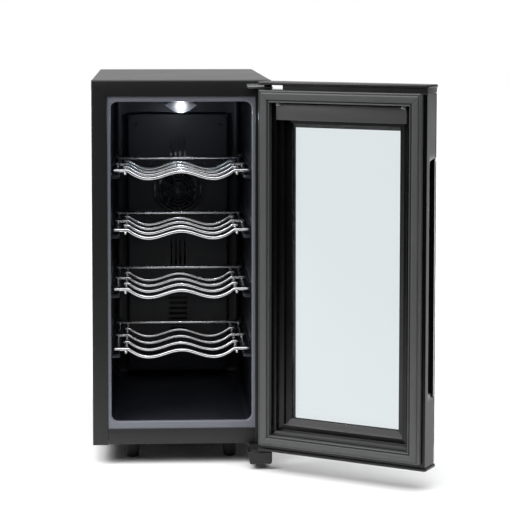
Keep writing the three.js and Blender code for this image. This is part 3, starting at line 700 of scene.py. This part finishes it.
def fan_cover():
    """The cover over the cold heatsink: a slotted sheet in a rounded rim, and a round grille of hoops and
    spokes."""
    (_, y0, z0), (x1, y1, z1) = COVER
    half, port, thick = x1, 39.0, 2.2
    slots = [(x - 1.5, x + 1.5, low, high) for low, high in ((408, 444), (241, 281))
             for x in (-10.5, -3.5, 3.5, 10.5)]
    slots += [(-14, 14, 137 + i * 8.2, 141.5 + i * 8.2) for i in range(8)]
    square = (-port - 4, port + 4, FAN_Z - port - 4, FAN_Z + port + 4)
    xs = sorted({-half + 2, half - 2, *[v for s in [*slots, square] for v in s[:2]]})
    zs = sorted({z0 + 2, z1 - 2, *[v for s in [*slots, square] for v in s[2:]]})
    sheet = slotted_sheet(np.array(xs), np.array(zs), [*slots, square], y0 + 0.6, y0 + 0.6 + thick)

    angle = np.arange(96) * 2 * math.pi / 96 + math.pi / 96
    c, s = np.cos(angle), np.sin(angle)
    reach = (port + 4) / np.maximum(np.abs(c), np.abs(s))
    patch = []
    for radius, y in ((reach, y0 + 0.6), (port, y0 + 0.6), (port, y0 + 0.6 + thick),
                      (reach, y0 + 0.6 + thick)):
        patch.append(np.stack([radius * c, np.full(96, y), FAN_Z + radius * s], -1))
    grille = [grid(np.array(patch), close_u=True, close_v=True)]
    for radius in np.arange(8.0, port - 1, 5.0):
        section = fillet([(radius - 1, y0 + 0.2, 0.5), (radius + 1, y0 + 0.2, 0.5),
                          (radius + 1, y0 + 2.4, 0.3), (radius - 1, y0 + 2.4, 0.3)], 3)
        grille.append(hoop(section, (0, 0, FAN_Z)))
    section = fillet([(port - 1.4, y0 - 0.4, 0.8), (port + 2, y0 - 0.4, 0.8), (port + 2, y0 + 2, 0.3),
                      (port - 1.4, y0 + 2, 0.3)], 3)
    grille.append(hoop(section, (0, 0, FAN_Z), sides=96))
    hub = np.array([(0.4, y0 - 0.4), (4, y0 - 0.3), (5.5, y0 + 0.4), (6, y0 + 2.4), (0.4, y0 + 2.4)])
    grille.append(revolved(hub, (0, 0, FAN_Z), 1, 32))
    for k in range(8):
        turn = k * math.pi / 4 + math.pi / 8
        along = np.array([math.cos(turn), 0, math.sin(turn)])
        path = np.array([0, y0 + 1.5, FAN_Z]) + along * np.linspace(5, port, 6)[:, None]
        grille.append(wire(path, 1.0, (0, 1, 0), 8))

    rim = [(half - 6, z0 + 6, z1 - 6, 8, y0 + 0.5)]
    for k in range(6):
        turn = math.pi / 2 * k / 5
        inset, y = 3 * (1 - math.sin(turn)), y0 + 3 * (1 - math.cos(turn))
        rim.append((half - inset, z0 + inset, z1 - inset, 12, y))
    rim = [(rim[0][0], rim[0][1], rim[0][2], 8, y0)] + rim[1:]
    rim += [(half, z0, z1, 12, y1), (half - 2, z0 + 2, z1 - 2, 10, y1),
            (half - 2, z0 + 2, z1 - 2, 10, y0 + 3), (half - 6, z0 + 6, z1 - 6, 8, y0 + 2.8)]
    make("slotted_fan_cover", [sheet, *grille, loft(rim, 8, closed=True)], "cover plastic", "cabinet",
         ("fan_cover",))
    ends = [cross_screw((x, y0 + 0.6, z), (0, -1, 0), 3.0) for x in (-half + 14, half - 14)
            for z in (z0 + 18, z1 - 18)]
    make("fan_cover_screws", ends, "satin black plastic", "cabinet")


def rotor(node, body, blades):
    """A fan wheel: a cupped hub, and blades twisted along their length on a grid of span and chord."""
    (_, y0, z0), (_, y1, z1) = extent(node)
    radius, middle, rise = (z1 - z0) / 2, (y0 + y1) / 2, (y1 - y0) / 2
    hub = radius * 0.42
    cup = np.array([(0.5, y0 + 0.4), (hub * 0.7, y0 + 0.3), (hub - 1.2, y0 + 0.7), (hub, y0 + 2),
                    (hub, y1 - 0.3), (hub - 1.5, y1 - 0.3), (hub - 1.5, y0 + 3), (0.5, y0 + 3)])
    parts = [revolved(cup, (0, 0, FAN_Z), 1, 40)]
    span, chord = np.meshgrid(np.linspace(0, 1, 9), np.linspace(-1, 1, 9), indexing="ij")
    r = hub - 0.4 + span * (radius * 0.985 - hub)
    pitch = np.radians(48 - 20 * span)
    wide = (0.55 + 0.35 * span) * radius * 0.42 * (1 - 0.12 * span * chord**2)
    for k in range(blades):
        base = 2 * math.pi * k / blades
        faces = []
        for skin in (-0.5, 0.5):
            lift = chord * wide * np.sin(pitch) + skin * 1.1 * np.sqrt(1.05 - chord**2)
            lift = np.clip(lift, -rise + 0.4, rise - 0.4)
            around = base + chord * wide * np.cos(pitch) / r + 0.25 * span
            faces.append(np.stack([r * np.cos(around), middle + lift, FAN_Z + r * np.sin(around)], -1))
        loop = np.concatenate([faces[0], faces[1][:, ::-1]], 1)
        parts.append(grid(loop, close_v=True, caps=True))
    make(f"{node}_wheel", parts, "satin black plastic", body, (node,))


def cooling_unit(sizes):
    """The two fan wheels, and the parts behind the cover and the rear panel in their CAD shapes with eased
    edges."""
    rotor("cold_fan_rotor", "cold_rotor", sizes.blades)
    rotor("hot_fan_rotor", "hot_rotor", sizes.blades)
    plain = [("cold_fan_frame", "satin black plastic", "fan_plastic"),
             ("hot_fan_frame", "satin black plastic", "fan_plastic"),
             ("cold_heatsink", "brushed aluminium", "aluminium"),
             ("hot_heatsink", "brushed aluminium", "aluminium"),
             ("cold_block", "brushed aluminium", "aluminium"), ("peltier_module", "alumina", "ceramic"),
             ("power_board", "solder mask", "circuit_board"),
             ("temperature_sensor", "nylon", "socket_plastic"), ("insulation_foam", "blown foam", "foam")]
    for node, material, slot in plain:
        softened(node, f"{node}_body", material, "cabinet", 0.3)


# ---- shelves ---------------------------------------------------------------------------------------
def scallop(x):
    """Height of a cross wire: cosine valleys 46.5 mm either side of the middle, 11.5 mm deep, with a crest
    1.7 mm below the flat ends between them. The outer flanks rise as a cosine's 0.85 power to the ends,
    75 mm out."""
    valley, end, depth, crest = 46.5, 75.0, 11.5, 1.7
    r = np.abs(x)
    inner = -crest - (depth - crest) * (1 - np.cos(math.pi * r / valley)) / 2
    run = np.clip((r - valley) / (end - valley), 0, 1)
    outer = -depth * np.cos(math.pi / 2 * run) ** 0.85
    return np.where(r < valley, inner, np.where(r < end, outer, 0.0))


def shelf(node, number, sizes):
    """A welded wire shelf: five scalloped cross wires, the last straight, on two rails and two side wires,
    with a bead of weld at every crossing. The side wires rise behind the front wire to meet it end on."""
    (_, y0, _), (x1, y1, z1) = extent(node)
    radius = sizes.wire / 2
    level, half, last = z1 - 2.4, x1 - 0.4, y1 - 3.1
    rows, pitch = 5, 55
    rail_x, side_x, short = 79, 91.5, 81.5
    first = last - (rows - 1) * pitch
    under = level - 3.9
    parts, welds = [], []
    for row in range(rows):
        y = first + pitch * row
        straight, between = row == rows - 1, row in (1, 3)
        reach = short if between else half
        x = np.linspace(-reach, reach, 4 if straight else 90)
        z = level + (0 * x if straight else scallop(x))
        parts.append(wire(np.stack([x, np.full_like(x, y), z], -1), radius, (0, 1, 0)))
        rails = (-rail_x, rail_x) if between or row == 0 else (-side_x, -rail_x, rail_x, side_x)
        welds += [(rail, y) for rail in rails]
    for rail in (-rail_x, rail_x):
        y = np.array([y0 + radius * 0.5, first, last, y1 - radius * 0.5])
        line = np.stack([np.full_like(y, rail), y, np.full_like(y, under)], -1)
        parts.append(wire(line, radius, (1, 0, 0)))
    rise = np.linspace(0, 1, 9)
    ramp_y = first + radius * 1.4 + 16 * rise
    ramp_z = level + (under - level) * (3 * rise**2 - 2 * rise**3)
    for rail in (-side_x, side_x):
        y = np.concatenate([ramp_y, [last, y1 - radius * 0.5]])
        z = np.concatenate([ramp_z, [under, under]])
        parts.append(wire(np.stack([np.full_like(y, rail), y, z], -1), radius, (1, 0, 0)))
    t = np.linspace(0.12, math.pi - 0.12, 7)
    bead = np.stack([radius * 0.95 * np.sin(t), -radius * 0.75 * np.cos(t)], -1)
    parts += [revolved(bead, (x, y, level - 1.95), 2, 12) for x, y in welds]
    make(f"chrome_shelf_{number}", parts, "chrome wire", f"shelf_{number}", (node,), 50)


# ---- hinges ----------------------------------------------------------------------------------------
def hinges():
    """Hinge plates, bushes and the block over the lower plate, and a black boss round the upper pin."""
    softened("top_hinge_bracket", "top_hinge_plate", "zinc plate", "cabinet", 0.5, 3)
    softened("bottom_hinge_bracket", "bottom_hinge_plate", "rear panel paint", "cabinet",
             0.5, 3)
    softened("bottom_hinge_cover", "bottom_hinge_block", "satin black plastic", "cabinet",
             1.2, 4)
    softened("hinge_bush_bottom", "lower_bush", "nylon", "door", 0.3)
    softened("hinge_bush_top", "upper_bush", "nylon", "door", 0.3)
    low, high = extent("bottom_hinge_bracket")
    rows, head = (18, 42), 3.4
    heads = [cross_screw(((low[0] + high[0]) / 2, y, low[2]), (0, 0, -1), head) for y in rows]
    make("hinge_screws", heads, "zinc plate", "cabinet")
    boss = np.array([(2.6, 535.0), (5.2, 535.0), (5.5, 535.4), (5.5, 540.2), (5.2, 540.6), (2.6, 540.6)])
    collar = revolved(boss, (PIVOT[0], PIVOT[1], 0), 2, 32)
    make("hinge_boss", [collar], "satin black plastic", "cabinet", (), 40)


# ---- door ------------------------------------------------------------------------------------------
INNER_Y = INNER[1][1]


def grip_depth(y, z, low, high, near, far, depth):
    """How far the grip is scooped in at (y, z): a quarter sine from its lip back to the glass, rounded off
    towards both ends."""
    across = np.sin(np.clip((near - y) / (near - far), 0, 1) * math.pi / 2)
    along = np.clip((z - low) / 22, 0, 1) * np.clip((high - z) / 22, 0, 1)
    along = along * along * (3 - 2 * along)
    return depth * across * along


def door_frame():
    """Four mitred bars with one section; the free side bar is scooped along its length for the fingers."""
    (_, y0, z0), (x1, y1, z1) = FRAME
    opening, low, high = 104.6, 53.5, 517.8
    wide = x1 - opening
    turn = np.linspace(0, math.pi / 2, 7)
    shoulder = np.stack([wide - 1.4 + 1.4 * np.sin(turn), y1 - 1.4 + 1.4 * np.cos(turn)], -1)
    flank = np.linspace(y1 - 1.5, y0, 27)[1:]
    profile = np.concatenate([
        [(0, y0), (0, y1 - 0.8), (0.25, y1 - 0.25), (0.8, y1)],
        shoulder,
        np.stack([np.full(26, wide), flank], -1),
    ])
    near, far, foot, head = -20.0, y0, 122.0, 452.0

    def scooped(bar):
        """The free side bar with its face moved in along the grip."""
        free = bar[..., 0] < -opening - wide + 0.2
        inward = grip_depth(bar[..., 1], bar[..., 2], foot, head, near, far, 9.0)
        moved = bar.copy()
        moved[..., 0] += np.where(free, inward, 0)
        return moved

    def in_grip(point):
        """Faces of the recessed grip."""
        return point[0] < -opening - 8 and point[1] < near + 0.8 and foot + 1 < point[2] < head - 1

    reach = (1.0, (low - z0) / wide, (z1 - high) / wide)
    bars = mitred_frame(profile, opening, low, high, 0.1, 120, scooped, reach)
    make("door_frame_bars", bars, "door black plastic", "door", ("door_frame",), 30,
         ("gloss black plastic", in_grip))


def seal_profile(width, front, back):
    """The seal's section: a foot in its groove, a thin bead along the inner edge behind a narrow groove, a
    broad flat magnet face, and a shallow step down to the outer edge."""
    w = width
    return fillet([(0, back, 0.4), (0, front - 1.4, 0.5), (1.0, front - 0.5, 0.5), (2.0, front - 1.4, 0.4),
                   (2.5, front - 2.8, 0.2), (3.2, front - 2.8, 0.2), (3.8, front - 0.5, 0.5),
                   (5.2, front, 0.8),
                   (w - 4.6, front, 0.8), (w - 3.4, front - 0.5, 0.4), (w - 2.9, front - 1.5, 0.3),
                   (w - 2.2, front - 1.4, 0.3), (w - 1.6, front - 0.7, 0.4), (w - 0.5, front - 1.0, 0.6),
                   (w, front - 3, 0.5), (w, back, 0.4)], 4)


def gasket():
    """The seal, mitred at its corners, and the magnet inside it."""
    (_, y0, z0), (x1, y1, z1) = SEAL
    inner, low, high = 104.3, 53.8, 517.5
    width = x1 - inner
    reach = (1.0, (low - z0) / width, (z1 - high) / width)
    bars = mitred_frame(seal_profile(width, y1, y0), inner, low, high, 0.2, reach=reach)
    make("door_seal", bars, "seal vinyl", "door", ("door_gasket",), 40)
    softened("magnetic_strip", "magnet_strip", "ferrite", "door", 0.2)


def inner_frame():
    """The moulding between seal and glass, in steps: a flat shelf, a wall, a ledge, a wall, and a shallow
    sill down to the pane. The control bar lies over its top, held by a clip at either end."""
    glass = PANE[1][1]
    half, low, high = 81.0, 76.0, 488.0
    r0 = 104.3 - half
    edge = INNER_Y - 0.4
    profile = fillet([(r0, glass + 0.5, 0.3), (r0, edge, 0.4), (16.6, edge, 0.9), (16.2, edge - 8.0, 0.5),
                      (8.4, edge - 8.2, 0.9), (8.0, edge - 14.2, 0.5), (0, edge - 15.6, 0.5),
                      (0, glass + 0.5, 0.2)], 4)
    reach = (1.0, (low - INNER[0][2]) / r0, (INNER[1][2] - high) / r0)
    bars = mitred_frame(profile, half, low, high, 0.1, reach=reach)

    def painted_lit_sill(point):
        """Faces of the bottom sill, except its ledge, which take a lighter grey: painted light falling from
        above.
        """
        out, drop = abs(point[0]) - half, low - point[2]
        return drop > 0 and out < drop and not 8.5 < drop < 17

    # The bottom sill takes the lighter control bar grey: painted light, as if lit from above, on a moulding
    # that is otherwise all dark reveal plastic.
    make("window_moulding", bars, "reveal plastic", "door", ("door_inner_frame",), 40,
         ("control bar plastic and painted sill light", painted_lit_sill))
    (_, y0, z0), (x1, y1, z1) = extent("control_cover", True)
    outline = fillet([(-x1, z0, 1.2), (x1, z0, 1.2), (x1, z1, 1.2), (-x1, z1, 1.2)], 4)
    bar = carried(outline, 1, y0, y1 + 1.2, 0.8)
    make("control_bar", [bar], "control bar plastic and painted sill light", "door", ("control_cover",), 40)
    clips = []
    for side in (-1, 1):
        tab = fillet([(side * 97, z1 + 1.2, 0.8), (side * 97, z1 - 3.5, 0.8), (side * 90, z1 - 2.2, 0.8),
                      (side * 90, z1 + 1.2, 0.8)], 3)
        clips.append(carried(tab, 1, y1 + 0.6, y1 + 2.8, 0.5))
    make("control_bar_clips", clips, "zinc plate", "door", (), 40)
    softened("control_board", "control_circuit", "solder mask", "door", 0.2)
    softened("display_module", "display_body", "gloss black plastic", "door", 0.5)


def panes():
    """Two panes with ground edges and the spacer between them; a black border is fired on the outer pane."""
    (_, y0, z0), (x1, y1, z1) = extent("outer_glass", True)
    outline = rounded_loop(x1, z0, z1, 2.0, 4)
    make("outer_pane", [carried(outline, 1, y0, y1, 0.5)], "door glass", "door",
         ("outer_glass",))
    outer, inner = (x1 - 0.6, z0 + 0.6, z1 - 0.6, 2), (81.0, 76.0, 488.0, 1.5)
    border = [(*outer, y1 + 0.05), (*outer, y1 + 0.2), (*inner, y1 + 0.2), (*inner, y1 + 0.05)]
    make("fired_border", [loft(border, 4, closed=True)], "window border", "door")
    (_, y0, z0), (x1, y1, z1) = PANE
    outline = rounded_loop(x1, z0, z1, 2.0, 4)
    make("inner_pane", [carried(outline, 1, y0, y1, 0.5)], "door glass", "door",
         ("inner_glass",))
    softened("glass_spacer", "pane_spacer", "window border", "door", 0.3)


def caps():
    """The caps over and under the door: rounded plates a little proud of the frame. Under the upper lid
    there is a gap, and a skirt stands on the frame from the free side as far as the hinge."""
    (x0, y0, z0), (x1, y1, z1) = extent("door_bottom_cap", True)
    outline = fillet([(x0, y0, 3), (x1, y0, 3), (x1, y1, 3), (x0, y1, 3)], 6)
    make("door_bottom_cap_cover", [carried(outline, 2, z0, z1, 1.2)], "satin black plastic", "door",
         ("door_bottom_cap",), 40)
    (x0, y0, z0), (x1, y1, z1) = extent("door_top_cap", True)
    outline = fillet([(x0, y0, 3), (x1, y0, 3), (x1, y1, 3), (x0, y1, 3)], 6)
    front, back = y1 - 1.5, y0 + 1.5
    skirt = fillet([(-126, back, 0.5), (90, back, 4), (90, front, 4), (-126, front, 0.5)], 5)
    parts = [carried(outline, 2, 541.0, z1, 1.4), carried(skirt, 2, z0, 542.0)]
    make("door_top_cap_cover", parts, "satin black plastic", "door",
         ("door_top_cap",), 40)


# ---- stage -----------------------------------------------------------------------------------------
def softbox(name, place, aim, width, power):
    """A square area light that the camera doesn't see."""
    data = bpy.data.lights.new(name, "AREA")
    data.size = width
    data.energy = power
    light = bpy.data.objects.new(name, data)
    light.location = place
    light.rotation_mode = "QUATERNION"
    light.rotation_quaternion = (Vector(aim) - Vector(place)).to_track_quat("-Z", "Y")
    light.visible_camera = False
    bpy.context.scene.collection.objects.link(light)


def stage(view):
    """A pale floor under a tilted soft overhead sun, one soft box high on the left, a small light under the
    cavity's lamp, a backdrop that is bright behind the cooler and dark elsewhere, and the camera."""
    floor = bpy.data.meshes.new("floor")
    size = 12.0
    floor.from_pydata([(-size, -size, 0), (size, -size, 0), (size, size, 0), (-size, size, 0)], [],
                      [(0, 1, 2, 3)])
    ground = bpy.data.objects.new("floor", floor)
    bpy.context.scene.collection.objects.link(ground)
    pale = bpy.data.materials.new("pale floor")
    pale.use_nodes = True
    shader = pale.node_tree.nodes["Principled BSDF"]
    shader.inputs["Roughness"].default_value = 1.0
    shader.inputs["Specular IOR Level"].default_value = 0.0
    tree = pale.node_tree
    place = tree.nodes.new("ShaderNodeTexCoord")
    split = tree.nodes.new("ShaderNodeSeparateXYZ")
    tree.links.new(place.outputs["Object"], split.inputs[0])
    # The floor's colour is painted darker away from the cooler's front for every ray but the camera's:
    # painted shade, standing in for light that falls off over the floor, so reflections see a dark room in
    # front. Seen through the glass the floor glows an even white.
    ends, full = view.falloff
    near = remap(tree, split.outputs["Y"], ends, full, 0.01, 1.0)
    rays = tree.nodes.new("ShaderNodeLightPath")
    tone = maths(tree, "MAXIMUM", rays.outputs["Is Camera Ray"], near)
    through = rays.outputs["Is Transmission Ray"]
    plain = maths(tree, "MULTIPLY", tone, maths(tree, "SUBTRACT", 1.0, through))
    tree.links.new(plain, shader.inputs["Base Color"])
    shader.inputs["Emission Color"].default_value = (1.0, 1.0, 1.0, 1.0)
    tree.links.new(maths(tree, "MULTIPLY", through, 0.98), shader.inputs["Emission Strength"])
    floor.materials.append(pale)

    sun_data = bpy.data.lights.new("overhead sun", "SUN")
    sun_data.energy = view.sun
    soft = 85
    sun_data.angle = math.radians(soft)
    sun = bpy.data.objects.new("overhead sun", sun_data)
    sun.rotation_euler = (math.radians(view.tilt), 0.0, 0.0)
    bpy.context.scene.collection.objects.link(sun)
    softbox("upper left softbox", (-1.15, -0.75, 1.25), (0.15, -0.25, 0.45), 0.7, view.overhead)
    diode = bpy.data.lights.new("cabin diode", "POINT")
    diode.energy = view.diode
    diode.color = (0.75, 0.87, 1.0)
    diode.shadow_soft_size = 0.004
    inside = bpy.data.objects.new("cabin diode", diode)
    inside.location = Vector(np.array((0.0, 40.0, 488.0)) * MM + ORIGIN)
    inside.visible_camera = False
    bpy.context.scene.collection.objects.link(inside)

    world = bpy.data.worlds.new("studio")
    world.use_nodes = True
    tree = world.node_tree
    tree.nodes.clear()
    place = tree.nodes.new("ShaderNodeTexCoord")
    split = tree.nodes.new("ShaderNodeSeparateXYZ")
    tree.links.new(place.outputs["Generated"], split.inputs[0])
    behind = remap(tree, split.outputs["Y"], 0.62, 0.92, view.dark, view.bright)
    rays = tree.nodes.new("ShaderNodeLightPath")
    seen = maths(tree, "MAXIMUM", rays.outputs["Is Camera Ray"], rays.outputs["Is Transmission Ray"])
    unseen = maths(tree, "MULTIPLY", maths(tree, "SUBTRACT", 1.0, seen), behind)
    strength = maths(tree, "ADD", seen, unseen)
    background = tree.nodes.new("ShaderNodeBackground")
    background.inputs["Color"].default_value = (1.0, 1.0, 1.0, 1.0)
    tree.links.new(strength, background.inputs["Strength"])
    output = tree.nodes.new("ShaderNodeOutputWorld")
    tree.links.new(background.outputs[0], output.inputs["Surface"])
    bpy.context.scene.world = world
    bpy.context.scene.view_settings.view_transform = "Standard"

    camera_data = bpy.data.cameras.new("camera")
    camera_data.lens = view.lens
    camera_data.sensor_width = 36.0
    camera_data.shift_x, camera_data.shift_y = view.shift
    camera = bpy.data.objects.new("camera", camera_data)
    camera.location = Vector(np.array(view.place) * MM + ORIGIN)
    camera.rotation_euler = (math.radians(90 - view.pitch), 0.0, math.radians(-view.yaw))
    bpy.context.scene.collection.objects.link(camera)
    bpy.context.scene.camera = camera


# ---- settings --------------------------------------------------------------------------------------
class CabinetSettings(bpy.types.PropertyGroup):
    """Sizes of the sheet, the wire and the fans."""
    fold: FloatProperty(name="Fold radius", description="Radius of the folded sheet edges, mm", default=2.2,
                        min=1.6)
    wire: FloatProperty(name="Shelf wire", description="Diameter of the shelf wire, mm", default=4.8, min=2.0)
    blades: IntProperty(name="Fan blades", description="Blades on each fan wheel", default=9, min=3)


class LookSettings(bpy.types.PropertyGroup):
    """Main colours, linear, and the lamp."""
    paint: FloatVectorProperty(name="Cabinet", description="Powder coat colour", subtype="COLOR", size=3,
                               default=(0.0065, 0.0065, 0.007))
    plastic: FloatVectorProperty(name="Door plastic", description="Satin plastic colour", subtype="COLOR",
                                 size=3, default=(0.006, 0.006, 0.0065))
    liner: FloatVectorProperty(name="Liner", description="Cavity colour", subtype="COLOR", size=3,
                               default=(0.008, 0.0095, 0.014))
    trim: FloatVectorProperty(name="Trim", description="Colour of the frame round the cavity",
                              subtype="COLOR", size=3, default=(0.16, 0.168, 0.198))
    seal: FloatVectorProperty(name="Seal", description="Door seal colour", subtype="COLOR", size=3,
                              default=(0.07, 0.071, 0.0725))
    glass: FloatVectorProperty(name="Glass", description="Tint of the panes", subtype="COLOR", size=3,
                               default=(0.875, 0.905, 0.915))
    lamp: FloatProperty(name="Lamp", description="Strength of the cabin lamp", default=4.5, min=0.0)


class ViewSettings(bpy.types.PropertyGroup):
    """Camera and lights."""
    place: FloatVectorProperty(name="Place", description="Camera in the cabinet's frame, mm", size=3,
                               default=(-43.8, -2550.5, 643.6))
    yaw: FloatProperty(name="Yaw", description="Turn to the right, degrees", default=2.68)
    pitch: FloatProperty(name="Pitch", description="Tilt down, degrees", default=4.07)
    lens: FloatProperty(name="Lens", description="Focal length, mm", default=128.6)
    shift: FloatVectorProperty(name="Shift", description="Lens shift across and up", size=2,
                               default=(0.039, -0.2255))
    # The floor light is painted into the floor's colour, not cast by a lamp.
    falloff: FloatVectorProperty(name="Floor light", description="Where floor light ends and is full, m",
                                 size=2, default=(-1.0, -0.35))
    tilt: FloatProperty(name="Sun tilt", description="How far the sun leans to the front, degrees",
                        default=14.0)
    sun: FloatProperty(name="Sun", description="Irradiance from above, W/m2", default=3.8)
    overhead: FloatProperty(name="Upper left light", description="Power, W", default=14.0)
    diode: FloatProperty(name="Cabin light", description="Power under the lamp, W", default=0.2)
    bright: FloatProperty(name="Backdrop", description="Brightness behind the cooler", default=0.92)
    dark: FloatProperty(name="Room", description="Brightness in front of the cooler", default=0.03)


# ---- operators -------------------------------------------------------------------------------------
class WINECOOLER_OT_finishes(bpy.types.Operator):
    """Make the shader groups and every finish"""
    bl_idname = "winecooler.finishes"
    bl_label = "Finishes"

    def execute(self, context):
        build_groups()
        build_finishes(context.scene.cooler_looks)
        return {"FINISHED"}


class WINECOOLER_OT_cabinet(bpy.types.Operator):
    """Build the cabinet shell, its bottom rail, rear panel, base and feet"""
    bl_idname = "winecooler.cabinet"
    bl_label = "Cabinet"

    def execute(self, context):
        cabinet_shell(context.scene.cooler_cabinet)
        bottom_rail()
        rear_and_base()
        feet()
        return {"FINISHED"}


class WINECOOLER_OT_cavity(bpy.types.Operator):
    """Build the liner, its trim and ribs, the lamp and the fan cover"""
    bl_idname = "winecooler.cavity"
    bl_label = "Cavity"

    def execute(self, context):
        liner()
        lamp()
        fan_cover()
        return {"FINISHED"}


class WINECOOLER_OT_cooling(bpy.types.Operator):
    """Build the fans, heatsinks, boards and foam"""
    bl_idname = "winecooler.cooling"
    bl_label = "Cooling unit"

    def execute(self, context):
        cooling_unit(context.scene.cooler_cabinet)
        return {"FINISHED"}


class WINECOOLER_OT_shelves(bpy.types.Operator):
    """Build the wire shelves"""
    bl_idname = "winecooler.shelves"
    bl_label = "Shelves"

    def execute(self, context):
        for number, node in enumerate(SHELVES, 1):
            shelf(node, number, context.scene.cooler_cabinet)
        return {"FINISHED"}


class WINECOOLER_OT_hinges(bpy.types.Operator):
    """Build the hinge plates, bushes, cover and screws"""
    bl_idname = "winecooler.hinges"
    bl_label = "Hinges"

    def execute(self, context):
        hinges()
        return {"FINISHED"}


class WINECOOLER_OT_door(bpy.types.Operator):
    """Build the door frame, seal, window moulding, panes and caps"""
    bl_idname = "winecooler.door"
    bl_label = "Door"

    def execute(self, context):
        door_frame()
        gasket()
        inner_frame()
        panes()
        caps()
        return {"FINISHED"}


class WINECOOLER_OT_stage(bpy.types.Operator):
    """Set the floor, lights, backdrop and camera"""
    bl_idname = "winecooler.stage"
    bl_label = "Stage"

    def execute(self, context):
        stage(context.scene.cooler_view)
        return {"FINISHED"}


STEPS = (WINECOOLER_OT_stage, WINECOOLER_OT_finishes, WINECOOLER_OT_cabinet, WINECOOLER_OT_cavity,
         WINECOOLER_OT_cooling, WINECOOLER_OT_shelves, WINECOOLER_OT_hinges, WINECOOLER_OT_door)


class WINECOOLER_PT_panel(bpy.types.Panel):
    """Lists the build steps and their settings"""
    bl_idname = "WINECOOLER_PT_panel"
    bl_label = "Wine Cooler"
    bl_space_type = "VIEW_3D"
    bl_region_type = "UI"
    bl_category = "Wine Cooler"

    def draw(self, context):
        for settings in (context.scene.cooler_cabinet, context.scene.cooler_looks, context.scene.cooler_view):
            box = self.layout.box()
            for name in settings.__annotations__:
                box.prop(settings, name)
        for step in STEPS:
            self.layout.operator(step.bl_idname)


SETTINGS = {"cooler_cabinet": CabinetSettings, "cooler_looks": LookSettings, "cooler_view": ViewSettings}


def register():
    """Register every class and hang the settings on the scene."""
    for cls in (*SETTINGS.values(), *STEPS, WINECOOLER_PT_panel):
        bpy.utils.register_class(cls)
    for name, cls in SETTINGS.items():
        setattr(bpy.types.Scene, name, PointerProperty(type=cls))


def unregister():
    """Take the settings off the scene and unregister every class."""
    for name in SETTINGS:
        delattr(bpy.types.Scene, name)
    for cls in reversed((*SETTINGS.values(), *STEPS, WINECOOLER_PT_panel)):
        bpy.utils.unregister_class(cls)


def main():
    register()
    for step in STEPS:
        group_name, step_name = step.bl_idname.split(".")
        getattr(getattr(bpy.ops, group_name), step_name)()


if __name__ == "__main__":
    main()
